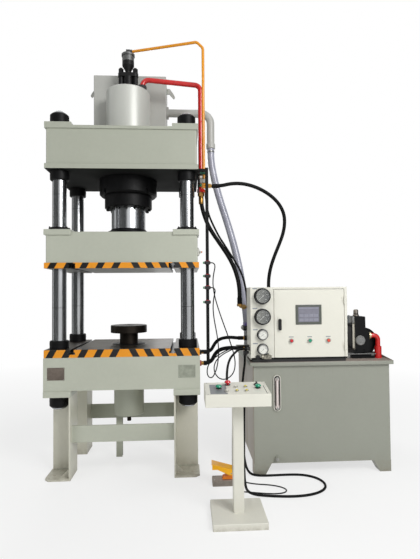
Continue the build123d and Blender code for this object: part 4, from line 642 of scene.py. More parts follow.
def pilot_paint(name):
    """Yellow pipe enamel; the union at its lower end is brass."""
    shader = Shader(name)
    base = shader.mix(shader.noise(18.0, 3.0), paint("yellow", 0.85), paint("yellow", 1.05))
    union = (shader.x > 0.6675) * (shader.z < 2.36)
    top = (shader.x < 0.0365) * (shader.z > 3.5)
    base = shader.mix(union, base, paint("brass"))
    base = shader.mix(top, base, shade(70, 70, 70))
    return pipe_gloss(shader, base, 0.26, (union * 0.9 + top * 0.8).clamped())


def plain_red(name):
    """Red enamel of the pump's delivery elbow."""
    shader = Shader(name)
    union = (shader.x < 2.0195)
    base = shader.mix(shader.noise(20.0, 3.0), paint("red", 0.8), paint("red", 1.1))
    base = shader.mix(union, base, shade(190, 176, 140))
    return pipe_gloss(shader, base, 0.26, union * 0.9, orange_peel(shader, 0.06))


def clamp_finish(name):
    """Split clamps: white and dark green above, green and white below, on black straps."""
    shader = Shader(name)
    front = (shader.y > -0.16)
    upper = (shader.z > 2.375)
    body = shader.mix(front, shade(22, 84, 60), shade(206, 204, 196))
    lower = shader.mix(front, shade(206, 204, 196), shade(28, 110, 78))
    colour = shader.mix(upper, lower, body)
    strap = (shader.x < 0.6195) * (1.0 - front) + (shader.x < 0.6105)
    colour = shader.mix(strap.clamped(), colour, shade(24, 24, 24))
    return shader.surface(colour, 0.45, bump=orange_peel(shader, 0.08))


def bar_paint(name):
    """Black satin bar, chipped along its edges."""
    shader = Shader(name)
    chips = (shader.noise(60.0, 5.0, 0.75) * 4.0 - 2.7).clamped()
    base = shader.mix(chips * 0.6, shade(18, 19, 19), shade(84, 82, 77))
    return shader.surface(base, 0.46, chips * 0.3, orange_peel(shader, 0.08), specular_ior_level=0.14)


def sensor_finish(name):
    """Red bracket, dark nut, metal body and green sensing face."""
    shader = Shader(name)
    bracket = shader.x.within(0.6535, 0.6865)
    body = shader.mix(shader.noise(60.0, 2.0), shade(150, 150, 146), shade(196, 196, 190))
    colour = shader.mix(bracket * (shader.y > -0.3435), body, shade(24, 24, 25))
    top = bracket * (shader.face_z > 0.5) * (shader.y > -0.3435)
    colour = shader.mix(top, colour, shade(190, 26, 44))
    nut = (shader.x.within(0.6455, 0.6535) + (shader.x > 0.6865)).clamped()
    colour = shader.mix(nut, colour, shade(26, 26, 26))
    face = (shader.x < 0.6405)
    colour = shader.mix(face, colour, shade(30, 140, 84))
    metal = (1.0 - (face + bracket + nut).clamped())
    return shader.surface(colour, 0.36, metal * 0.85)


def striker_finish(name):
    """Zinc plate and rod, with an orange tip."""
    shader = Shader(name)
    tip = (shader.x > 0.6205)
    base = shader.mix(shader.noise(30.0, 3.0), shade(176, 176, 168), shade(208, 208, 200))
    colour = shader.mix(tip, base, shade(214, 96, 26))
    return shader.surface(colour, 0.36, 0.8 - tip * 0.8)


def gauge_case(name):
    """Black gauge cases, a chrome valve and a dark stem below them."""
    shader = Shader(name)
    valve = (shader.z < 0.948) * (shader.x > 1.07)
    stem = (shader.z < 0.94) * (shader.x < 1.07)
    small = shader.z.within(0.94, 1.15)
    rim = small * (shader.y < -0.4445)
    colour = shader.mix(rim, shade(24, 25, 26), shade(120, 121, 120))
    wear = (shader.noise(90.0, 4.0, 0.7) * 2.4 - 0.7).clamped()
    worn = shader.mix(wear, shade(52, 50, 46), shade(176, 172, 158))
    colour = shader.mix(valve, colour, worn)
    colour = shader.mix(stem, colour, shade(150, 150, 148))
    metal = (valve + stem + rim * 0.8).clamped()
    return shader.surface(colour, 0.26, metal * 0.95, coat_weight=0.1, coat_roughness=0.1,
                          specular_ior_level=0.3)


def gauge_frame(name):
    """Level gauge: pale metal lip, black gasket inside it, brownish recess and a pale tube."""
    shader = Shader(name)
    across = abs(shader.x - 1.2065)
    along = shader.z.worked("MAXIMUM", abs(shader.z - 0.638) - 0.1115, 0.0)
    out = (across * across + along * along) ** 0.5
    lip = (out > 0.0235)
    recess = (out < 0.0152)
    tube = recess * (shader.y < -0.4105)
    pale = shader.mix(shader.noise(60.0, 3.0), shade(196, 194, 184), shade(222, 220, 210))
    floor = shader.mix(shader.noise(60.0, 3.0), shade(92, 84, 80), shade(136, 126, 120))
    glass = shader.mix(shader.noise(40.0, 2.0), shade(212, 198, 194), shade(238, 228, 224))
    colour = shader.mix(lip, shade(16, 16, 16), pale)
    colour = shader.mix(recess, colour, floor)
    colour = shader.mix(tube, colour, glass)
    return shader.surface(colour, 0.36 - tube * 0.26, lip * 0.4)


def machine_black(name):
    """Black satin enamel of the pump, rubbed grey at places."""
    shader = Shader(name)
    rubbed = (shader.noise(16.0, 6.0, 0.72) * 3.0 - 1.9).clamped()
    base = shader.mix(rubbed * 0.4, shade(13, 14, 15), shade(58, 58, 56))
    strip = shader.x.within(1.866, 1.8835) * shader.z.within(0.955, 1.226) * (shader.y < -0.2)
    base = shader.mix(strip, base, shade(176, 172, 160))
    across, up = shader.x - 1.927, shader.z - 1.029
    dial = (shader.y < -0.2955) * (across * across + up * up < 0.00163)
    colour = shader.mix(dial, base, shade(150, 150, 146))
    fitting = (shader.z > 1.228) * (shader.x < 1.94)
    grooves = fitting * shader.z.within(1.2415, 1.2495)
    colour = shader.mix(fitting, colour, shade(150, 143, 136))
    colour = shader.mix(grooves, colour, shade(40, 38, 36))
    metal = (dial * 0.6 + fitting * 0.9 + strip * 0.7).clamped()
    return shader.surface(colour, 0.42 - fitting * 0.1, metal, orange_peel(shader, 0.16),
                          specular_ior_level=0.14)


def manifold_finish(name):
    """Blackened valve block, with a red riser and brass unions."""
    shader = Shader(name)
    tone = shader.noise(34.0, 4.0, 0.65)
    base = shader.mix(tone, shade(18, 18, 19), shade(44, 44, 44))
    riser = (shader.z > 1.092) * (shader.y < -0.15)
    brass = (shader.x < 0.981) * (shader.z < 1.1) + (shader.z > 1.1885) * (shader.x > 1.2)
    brass = brass + (shader.z > 1.3155) * (shader.x < 0.966)
    colour = shader.mix(riser, base, shade(150, 122, 74))
    colour = shader.mix(brass.clamped(), colour, paint("brass"))
    return shader.surface(colour, 0.34 + tone * 0.15, 0.6)


def solenoid_finish(name):
    """Black coils, grey valve bodies and violet connectors."""
    shader = Shader(name)
    body = shader.x.within(1.0735, 1.1545)
    plug = (shader.x < 1.035) * (shader.z > 1.1505)
    colour = shader.mix(body, shade(24, 24, 26), shade(112, 116, 118))
    colour = shader.mix(plug, colour, shade(96, 84, 150))
    return shader.surface(colour, 0.42, body * 0.5)


def screen_finish(name):
    """Touch screen: dark grey-green bezel and a dull violet-grey display."""
    shader = Shader(name)
    low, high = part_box("touch_screen")
    glass = (shader.y > -0.4242) * (shader.face_y < -0.5) * shader.x.within(low.x + 0.0195, high.x - 0.0195)
    haze = shader.mix(shader.noise(26.0, 4.0, 0.6), shade(110, 110, 122), shade(140, 139, 150))
    base = shader.mix(shader.noise(50.0, 3.0), shade(72, 76, 70), shade(90, 94, 86))
    colour = shader.mix(glass, base, haze)
    return shader.surface(colour, 0.42 - glass * 0.24)


def cast_aluminium(name):
    """Grey cast base of the pedal with its orange cover."""
    shader = Shader(name)
    base = shader.mix(shader.noise(45.0, 5.0, 0.7), shade(112, 104, 96), shade(160, 152, 142))
    cover = (shader.z > 0.0442) * (shader.x > 0.7545)
    pin = (shader.y < -0.5635) * cover + (shader.y > -0.5105) * cover
    colour = shader.mix(cover, base, shade(236, 126, 16))
    colour = shader.mix(pin.clamped(), colour, shade(150, 150, 148))
    return shader.surface(colour, 0.45 - cover * 0.12, (1.0 - cover) * 0.7,
                          shader.bump(shader.noise(260.0, 3.0), 0.2, 0.0006))


def pedal_paint(name):
    """Yellow enamel of the treadle, scuffed by shoes."""
    shader = Shader(name)
    scuffs = (shader.noise(40.0, 5.0, 0.75) * 3.4 - 2.0).clamped()
    base = shader.mix(scuffs * 0.5, paint("pedal"), shade(150, 120, 60))
    return shader.surface(base, 0.34, bump=orange_peel(shader), coat_weight=0.2, coat_roughness=0.12)


def rubber_finish(name):
    """Hose cover: matt black with a faint wrapped texture."""
    shader = Shader(name)
    tone = shader.noise(60.0, 4.0, 0.7)
    base = shader.mix(tone, paint("rubber", 0.7), paint("rubber", 1.9))
    return shader.surface(base, 0.46 + tone * 0.18, bump=shader.bump(shader.noise(360.0, 3.0), 0.16, 0.0008),
                          specular_ior_level=0.12)


def plate_finish(red, green, blue, fleck):
    """A bare engraved-metal plate of one tone, with a slightly worn face."""
    def build(name):
        shader = Shader(name)
        brushed = shader.noise(240.0, 2.0, 0.6, shader.stretched(0.05, 1.0, 1.0))
        worn = shader.noise(22.0, 5.0, 0.7)
        tone = shader.mix((worn * 2.0 - 0.6).clamped(), times(shade(red, green, blue), 1.0 - fleck),
                          times(shade(red, green, blue), 1.0 + fleck))
        base = shader.mix(brushed * 0.3, tone, times(shade(red, green, blue), 1.25))
        return shader.surface(base, 0.4, 0.35)
    return build


def dial_face_grey(name):
    """Grey dial card of the two large gauges, with painted shade and reflection: lighter to the left, darker
    to the right.
    """
    shader = Shader(name)
    # Painted shade and reflection: the card lighter on its left and darker on its right.
    painted_shading = ((shader.x - GAUGE_X) * 12.0 + 0.5).clamped()
    clouds = shader.noise(60.0, 3.0, 0.6)
    base = shader.mix((painted_shading * 0.8 + clouds * 0.3).clamped(), shade(124, 124, 116), shade(44, 46, 46))
    return shader.surface(base, 0.45, specular_ior_level=0.3)


def enamelled(tone, depth, roughness, metallic=0.0, **fixed):
    """A plain enamel of one tone."""
    def build(name):
        shader = Shader(name)
        return shader.surface(mottled(shader, tone, depth), roughness, metallic, orange_peel(shader), **fixed)
    return build


def flecked(grain, dark, pale, roughness, metallic=0.0, relief=None, **fixed):
    """A finish of two tones in fine flecks.

    The grain is the noise's scale and detail. A tone is a shade, or the name and factor of one of the press's
    colours. The relief is the scale, strength and depth of its bump.
    """
    def build(name):
        shader = Shader(name)
        tones = [paint(*tone) if isinstance(tone[0], str) else tone for tone in (dark, pale)]
        bump = relief and shader.bump(shader.noise(relief[0]), *relief[1:])
        return shader.surface(shader.mix(shader.noise(*grain), *tones), roughness, metallic, bump, **fixed)
    return build


def moulded_cap(colour_name):
    """A glossy moulded cap in one of the press's colours."""
    return flecked((70.0, 3.0), (colour_name, 0.88), (colour_name, 1.05), 0.24, coat_weight=0.3,
                   coat_roughness=0.08)


def lens_cap(tone):
    """A clear-coated lens of one tone."""
    return flecked((90.0, 2.0), times(tone, 0.9), tone, 0.25, coat_weight=0.4, coat_roughness=0.06)


FINISHES = {
    "press_enamel": enamel,
    "bed_enamel": bed_finish,
    "slide_enamel": slide_finish,
    "crosshead_enamel": crosshead_finish,
    "leg_enamel": leg_enamel,
    "grey_enamel": grey_enamel,
    "barrel_enamel": enamelled(shade(198, 199, 192), 0.06, 0.36, 0.1, coat_weight=0.2, coat_roughness=0.25),
    "motor_grey": enamelled(shade(84, 90, 92), 0.08, 0.4, coat_weight=0.1, coat_roughness=0.25),
    "tank_enamel": tank_finish,
    "lid_enamel": lid_finish,
    "cabinet_coat": cabinet_finish,
    "cabinet_box_coat": cabinet_box_finish,
    "console_coat": console_finish,
    "stand_coat": stand_finish,
    "column_chrome": chrome,
    "ram_chrome": ram_finish,
    "black_oxide": black_oxide,
    "turned_dark": turned_dark,
    "valve_steel": valve_steel,
    "pressure_red": pipe_paint,
    "pilot_yellow": pilot_paint,
    "delivery_red": plain_red,
    "clamp_paint": clamp_finish,
    "bar_black": bar_paint,
    "sensor_parts": sensor_finish,
    "striker_zinc": striker_finish,
    "zinc": flecked((40.0, 4.0), shade(142, 142, 138), shade(192, 192, 188), 0.34, 0.85,
                    (300.0, 0.06, 0.0004)),
    "brass": flecked((40.0, 4.0), ("brass", 0.8), ("brass", 1.1), 0.3, 0.95),
    "rotor_steel": flecked((30.0, 3.0), shade(120, 120, 118), shade(170, 170, 168), 0.36, 0.85),
    "cover_grey": flecked((90.0, 4.0, 0.7), shade(92, 94, 94), shade(150, 150, 148), 0.42, 0.5),
    "gauge_case": gauge_case,
    "level_frame": gauge_frame,
    "pump_black": machine_black,
    "block_black": manifold_finish,
    "solenoid_parts": solenoid_finish,
    "moulded_black": flecked((50.0, 3.0), shade(16, 16, 17), shade(30, 30, 31), 0.42,
                             relief=(400.0, 0.08, 0.0003), specular_ior_level=0.3),
    "green_cap": moulded_cap("green_cap"),
    "red_cap": moulded_cap("red_cap"),
    "orange_cap": moulded_cap("orange_cap"),
    "lens_white": lens_cap(shade(226, 224, 210)),
    "lens_yellow": lens_cap(shade(226, 208, 96)),
    "screen_parts": screen_finish,
    "screen_field": flecked((60.0, 2.0), shade(126, 127, 140), shade(146, 146, 158), 0.3),
    "label_grey": flecked((90.0, 3.0), shade(108, 114, 122), shade(168, 172, 178), 0.4),
    "brown_plate": plate_finish(112, 101, 92, 0.35),
    "pale_plate": plate_finish(150, 154, 140, 0.3),
    "pedal_cast": cast_aluminium,
    "pedal_yellow": pedal_paint,
    "hose_rubber": rubber_finish,
    "fill_hose_wall": flecked((16.0, 3.0), shade(150, 151, 166), shade(186, 187, 199), 0.22, coat_weight=0.4,
                              coat_roughness=0.06),
    "fill_hose_rib": flecked((30.0, 3.0), shade(128, 129, 146), shade(168, 169, 184), 0.26, coat_weight=0.3,
                             coat_roughness=0.1),
    "dial_pale": flecked((80.0, 2.0), shade(222, 221, 212), shade(236, 235, 228), 0.5),
    "dial_grey": dial_face_grey,
    "dial_ink": flecked((200.0, 2.0), shade(16, 16, 16), shade(28, 28, 28), 0.5, specular_ior_level=0.2),
    "pale_ink": flecked((200.0, 2.0), shade(196, 198, 194), shade(226, 228, 224), 0.5),
    "dial_glass": flecked((12.0, 2.0), shade(236, 240, 240), shade(246, 248, 248), 0.05, alpha=0.06,
                          coat_weight=0.2, coat_roughness=0.03),
}

# The frame's nodes that each finish goes on
NODE_FINISHES = {
    "bed_enamel": ("bed",),
    "leg_enamel": ("leg_frame_front", "leg_frame_rear"),
    "press_enamel": ("ejector_barrel",),
    "crosshead_enamel": ("crosshead",),
    "slide_enamel": ("slide",),
    "barrel_enamel": ("cylinder_barrel",),
    "grey_enamel": ("fill_tank",),
    "tank_enamel": ("oil_tank",),
    "lid_enamel": ("tank_lid",),
    "column_chrome": ("columns",),
    "ram_chrome": ("ram",),
    "black_oxide": ("column_nuts", "cylinder_locknut", "gland_rings", "guide_bushings"),
    "turned_dark": ("ejector_rod", "ejector_disc"),
    "valve_steel": ("prefill_valve",),
    "pressure_red": ("pressure_pipe",),
    "pilot_yellow": ("pilot_pipe",),
    "delivery_red": ("pump_pipe",),
    "clamp_paint": ("pipe_clamps",),
    "bar_black": ("sensor_bar",),
    "sensor_parts": ("limit_sensors",),
    "striker_zinc": ("striker",),
    "level_frame": ("level_gauge",),
    "gauge_case": ("pressure_gauges",),
    "motor_grey": ("motor",),
    "rotor_steel": ("motor_rotor",),
    "pump_black": ("pump",),
    "block_black": ("valve_manifold",),
    "solenoid_parts": ("solenoid_valves",),
    "cabinet_box_coat": ("cabinet",),
    "cabinet_coat": ("cabinet_door",),
    "screen_parts": ("touch_screen",),
    "console_coat": ("console_box",),
    "stand_coat": ("console_stand",),
    "moulded_black": ("door_handle", "selector_switch", "relief_knob"),
    "green_cap": ("start_button", "palm_button_left", "palm_button_right"),
    "red_cap": ("stop_button", "emergency_stop"),
    "orange_cap": ("reset_button",),
    "pedal_cast": ("pedal_base",),
    "pedal_yellow": ("pedal_plate",),
}

# Each hose: its node, route, length, diameter, stiffness, lay and finish
HOSES = (
    ("main_hose", MAIN_HOSE_ROUTE, 1.656, 0.030, "stiff", "hanging", "hose_rubber"),
    ("pressure_hose", PRESSURE_HOSE_ROUTE, 1.006, 0.035, "stiff", "hanging", "hose_rubber"),
    ("gauge_hose", GAUGE_HOSE_ROUTE, 1.241, 0.017, "medium", "hanging", "hose_rubber"),
    ("fill_hose", FILL_HOSE_ROUTE, 1.886, 0.066, "stiff", "hanging", "fill_hose_wall"),
    ("ejector_hose_upper", EJECTOR_UPPER_ROUTE, 0.390, 0.028, "stiff", "hanging", "hose_rubber"),
    ("ejector_hose_lower", EJECTOR_LOWER_ROUTE, 0.392, 0.033, "stiff", "hanging", "hose_rubber"),
    ("sensor_cable_left", SENSOR_LEFT_ROUTE, 1.252, 0.009, "limp", "hanging", "hose_rubber"),
    ("sensor_cable_right", SENSOR_RIGHT_ROUTE, 1.526, 0.009, "limp", "hanging", "hose_rubber"),
    ("console_cable", CONSOLE_CABLE_ROUTE, 0.672, 0.017, "medium", "hanging", "hose_rubber"),
    ("floor_cable", FLOOR_CABLE_ROUTE, 3.000, 0.018, "medium", "loose", "hose_rubber"),
    ("pedal_cable", PEDAL_CABLE_ROUTE, 1.534, 0.009, "limp", "loose", "hose_rubber"),
)
SLEEVED = ("main_hose", "pressure_hose", "gauge_hose", "ejector_hose_upper", "ejector_hose_lower")


# Modelling helpers


def select_none():
    """Object mode with nothing selected, as every operator below expects."""
    if bpy.context.object and bpy.context.object.mode != "OBJECT":
        bpy.ops.object.mode_set(mode="OBJECT")
    bpy.ops.object.select_all(action="DESELECT")


def only(piece):
    select_none()
    piece.select_set(True)
    bpy.context.view_layer.objects.active = piece
    return piece


def settled(piece):
    """The piece's place goes into its mesh, so that its object stays at the origin."""
    only(piece)
    bpy.ops.object.transform_apply(location=True, rotation=True, scale=True)
    return piece


def named(name):
    piece = bpy.context.active_object
    piece.name = name
    piece.data.name = name
    return piece


def box_piece(name, low, high):
    """A block between two corners."""
    select_none()
    middle = [(a + b) / 2 for a, b in zip(low, high)]
    bpy.ops.mesh.primitive_cube_add(size=1.0, location=middle)
    piece = named(name)
    piece.scale = [b - a for a, b in zip(low, high)]
    return settled(piece)


def bar_piece(name, foot, axis, length, radius, sides=32):
    """A round bar that starts at foot and runs along an axis."""
    select_none()
    axis = Vector(axis).normalized()
    turn = axis.to_track_quat("Z", "Y").to_euler()
    bpy.ops.mesh.primitive_cylinder_add(vertices=sides, radius=radius, depth=length, end_fill_type="NGON",
                                        location=Vector(foot) + axis * length / 2, rotation=turn)
    return settled(named(name))


def ring_piece(name, middle, axis, radius, section, sides=40, around=12):
    """A round ring of a round section."""
    select_none()
    turn = Vector(axis).to_track_quat("Z", "Y").to_euler()
    bpy.ops.mesh.primitive_torus_add(location=middle, rotation=turn, major_radius=radius,
                                     minor_radius=section, major_segments=sides, minor_segments=around)
    return settled(named(name))


def choose(piece, test, kind="FACE"):
    """Edit mode with only the faces or edges that pass the test, which is given the middle and the normal."""
    only(piece)
    bpy.ops.object.mode_set(mode="EDIT")
    bpy.ops.mesh.select_mode(type=kind)
    bpy.ops.mesh.select_all(action="DESELECT")
    form = bmesh.from_edit_mesh(piece.data)
    if kind == "FACE":
        for face in form.faces:
            face.select_set(bool(test(face.calc_center_median(), face.normal)))
    else:
        for edge in form.edges:
            middle = (edge.verts[0].co + edge.verts[1].co) / 2
            edge.select_set(bool(test(middle, edge.verts[1].co - edge.verts[0].co)))
    bmesh.update_edit_mesh(piece.data)


def stepped(piece, test, steps):
    """Insets the chosen faces in turn by (width, depth); a negative depth goes inwards."""
    choose(piece, test)
    for width, depth in steps:
        bpy.ops.mesh.inset(thickness=width, depth=depth)
    bpy.ops.object.mode_set(mode="OBJECT")
    return piece


def eased(piece, width, segments=2, angle=40.0):
    """Every sharp edge broken by a bevel, then smooth shading between them."""
    only(piece)
    bevel = piece.modifiers.new("edges", "BEVEL")
    bevel.width = width
    bevel.segments = segments
    bevel.limit_method = "ANGLE"
    bevel.angle_limit = math.radians(angle)
    bpy.ops.object.modifier_apply(modifier=bevel.name)
    return smooth(piece)


def smooth(piece, angle=35.0):
    only(piece)
    bpy.ops.object.shade_smooth_by_angle(angle=math.radians(angle))
    return piece


def placed(pattern, name, places):
    """The pattern at every place, joined to one piece; each place is a matrix."""
    select_none()
    for place in places:
        copy = pattern.copy()
        copy.data = pattern.data.copy()
        copy.data.transform(place)
        bpy.context.scene.collection.objects.link(copy)
        copy.select_set(True)
        bpy.context.view_layer.objects.active = copy
    bpy.data.objects.remove(pattern)
    if len(places) > 1:
        bpy.ops.object.join()
    return named(name)


def joined(name, pieces):
    select_none()
    for piece in pieces:
        piece.select_set(True)
    bpy.context.view_layer.objects.active = pieces[0]
    if len(pieces) > 1:
        bpy.ops.object.join()
    return named(name)


def dressed(piece, finish_name, body="frame"):
    """Gives a piece its finish, its body and the slot that it takes its finish from."""
    piece.data.materials.clear()
    piece.data.materials.append(finish(finish_name))
    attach(piece, body)
    return piece


def fitted(pattern, name, places, finish_name, body="frame"):
    """The pattern at every place, joined to one piece and dressed."""
    return dressed(placed(pattern, name, places), finish_name, body)


def at(x, y, z):
    return Matrix.Translation((x, y, z))


def facing(axis):
    """Turns a pattern made along +Z to look along an axis."""
    return Vector(axis).to_track_quat("Z", "Y").to_matrix().to_4x4()


def around(count, radius, z, start=0.0):
    """Places on an upright circle round the press axis."""
    places = []
    for index in range(count):
        angle = math.radians(start) + math.tau * index / count
        spot = at(radius * math.cos(angle), radius * math.sin(angle), z)
        places.append(spot @ Matrix.Rotation(angle, 4, "Z"))
    return places


def socket_screw(name, radius, height):
    """Cap screw along +Z with a hexagon socket."""
    head = bar_piece(name, (0, 0, 0), UP, height, radius, 24)
    key = bar_piece("key", (0, 0, height * 0.45), UP, height, radius * 0.56, 6)
    head = cut(head, key)
    return eased(head, radius * 0.08, 1, 50.0)


def cut(piece, tool):
    """Takes the tool's form out of a piece."""
    only(piece)
    bite = piece.modifiers.new("cut", "BOOLEAN")
    bite.object = tool
    bite.operation = "DIFFERENCE"
    bite.solver = "EXACT"
    bpy.ops.object.modifier_apply(modifier=bite.name)
    bpy.data.objects.remove(tool)
    return piece


def hexagon_nut(name, radius, height, hole):
    """Hexagon nut along +Z with a chamfered top, round a plain hole."""
    nut = bar_piece(name, (0, 0, 0), UP, height, radius, 6)
    nut = cut(nut, bar_piece("hole", (0, 0, -height), UP, height * 3, hole, 24))
    return eased(nut, radius * 0.07, 1, 50.0)


class SetStage(bpy.types.Operator):
    """Sets the floor, the room light, the lamps and the camera"""
    bl_idname = "press.set_stage"
    bl_label = "Set the stage"

    def execute(self, context):
        stage = context.scene.press_stage
        self.floor()
        self.room(context.scene, stage)
        self.lamp("key_lamp", (3.4, -4.6, 4.2), (0.6, 0.0, 1.2), 2.6, stage.key_power)
        self.lamp("fill_lamp", (-4.2, -4.0, 2.6), (0.2, 0.0, 1.4), 3.0, stage.fill_power)
        self.lamp("rear_lamp", (-1.0, 4.6, 4.4), (0.6, 0.0, 1.4), 2.6, stage.rim_power)
        self.flag("front_flag", -46.0, 41.0, shade(48, 50, 48))
        self.flag("side_flag", 99.0, 45.0, shade(44, 46, 46))
        self.flag("rear_flag", -140.0, 38.0, shade(120, 122, 118))
        self.camera(context.scene, stage)
        context.scene.view_settings.view_transform = "Standard"
        return {"FINISHED"}

    @staticmethod
    def floor():
        select_none()
        bpy.ops.mesh.primitive_plane_add(size=60.0, location=(0.0, 0.0, -0.0005))
        piece = named("floor")
        shader = Shader("floor_pale")
        path = [shader.node("ShaderNodeLightPath", output=name) for name in
                ("Is Camera Ray", "Is Glossy Ray", "Is Transmission Ray")]
        seen = (path[0] + path[1] + path[2]).clamped()
        grain = shader.mix(shader.noise(2.0, 3.0), shade(238, 238, 236), shade(244, 244, 242))
        lit = shader.node("ShaderNodeBsdfDiffuse", {}, {"Color": grain})
        glow = shader.node("ShaderNodeEmission", {}, {"Color": (1.0, 1.0, 1.0, 1.0), "Strength": 1.0})
        away = ((shader.x * shader.x + shader.y * shader.y) ** 0.5 - 1.6) * 0.22
        share = away.clamped() * 0.34 + 0.66
        mixed = shader.node("ShaderNodeMixShader", {}, {0: seen * share, 1: lit, 2: glow})
        shader.node("ShaderNodeOutputMaterial", {}, {"Surface": mixed})
        piece.data.materials.append(shader.material)

    @staticmethod
    def room(scene, stage):
        scene.world = bpy.data.worlds.new("room")
        scene.world.use_nodes = True
        tree = scene.world.node_tree
        tree.nodes.clear()
        path = tree.nodes.new("ShaderNodeLightPath")
        seen = path.outputs["Is Camera Ray"]
        for name in ("Is Glossy Ray", "Is Transmission Ray"):
            both = tree.nodes.new("ShaderNodeMath")
            both.operation = "MAXIMUM"
            tree.links.new(seen, both.inputs[0])
            tree.links.new(path.outputs[name], both.inputs[1])
            seen = both.outputs[0]
        even = tree.nodes.new("ShaderNodeBackground")
        even.inputs["Color"].default_value = (0.96, 0.98, 1.0, 1.0)
        even.inputs["Strength"].default_value = stage.sky
        white = tree.nodes.new("ShaderNodeBackground")
        white.inputs["Color"].default_value = (1.0, 1.0, 1.0, 1.0)
        white.inputs["Strength"].default_value = 1.0
        mixed = tree.nodes.new("ShaderNodeMixShader")
        out = tree.nodes.new("ShaderNodeOutputWorld")
        tree.links.new(seen, mixed.inputs[0])
        tree.links.new(even.outputs[0], mixed.inputs[1])
        tree.links.new(white.outputs[0], mixed.inputs[2])
        tree.links.new(mixed.outputs[0], out.inputs["Surface"])

    @staticmethod
    def lamp(name, place, target, size, power):
        data = bpy.data.lights.new(name, "AREA")
        data.shape = "SQUARE"
        data.size = size
        data.energy = power
        lamp = bpy.data.objects.new(name, data)
        lamp.location = place
        lamp.rotation_euler = (Vector(target) - Vector(place)).to_track_quat("-Z", "Y").to_euler()
        bpy.context.scene.collection.objects.link(lamp)

    @staticmethod
    def flag(name, heading, half_angle, tone):
        """A dark upright card that only reflections see, as a studio uses for bright metal."""
        reach, height = 4.6, 6.4
        place = Matrix.Rotation(math.radians(heading), 4, "Z") @ at(0.0, -reach, height / 2 - 0.2)
        select_none()
        bpy.ops.mesh.primitive_plane_add(size=1.0, location=place.translation,
                                         rotation=(math.radians(90), 0.0, math.radians(heading)))
        card = named(name)
        card.scale = (2 * reach * math.tan(math.radians(half_angle)), height, 1.0)
        settled(card)
        shader = Shader(name + "_tone")
        tint = shader.mix(shader.noise(1.0), times(tone, 0.8), times(tone, 1.2))
        card.data.materials.append(shader.surface(tint, 0.9))
        card.visible_camera = False
        card.visible_diffuse = False
        card.visible_shadow = False
        card.visible_transmission = False

    @staticmethod
    def camera(scene, stage):
        turn, pitch = stage.camera_turn, stage.camera_pitch
        ahead = Vector((math.sin(turn) * math.cos(pitch), math.cos(turn) * math.cos(pitch), math.sin(pitch)))
        data = bpy.data.cameras.new("camera")
        data.sensor_fit = "AUTO"
        data.sensor_width = 36.0
        data.lens = stage.lens
        data.shift_x, data.shift_y = stage.shift
        camera = bpy.data.objects.new("camera", data)
        level = ahead.to_track_quat("-Z", "Y").to_matrix().to_4x4()
        camera.matrix_world = at(*stage.camera_place) @ level @ Matrix.Rotation(stage.camera_roll, 4, "Z")
        scene.collection.objects.link(camera)
        scene.camera = camera


class FinishNodes(bpy.types.Operator):
    """Gives every piece of the frame its own finish"""
    bl_idname = "press.finish_nodes"
    bl_label = "Finish the frame's pieces"

    def execute(self, context):
        for finish_name, nodes in NODE_FINISHES.items():
            for node in nodes:
                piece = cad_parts[node]
                piece.data.materials.clear()
                piece.data.materials.append(finish(finish_name))
        return {"FINISHED"}


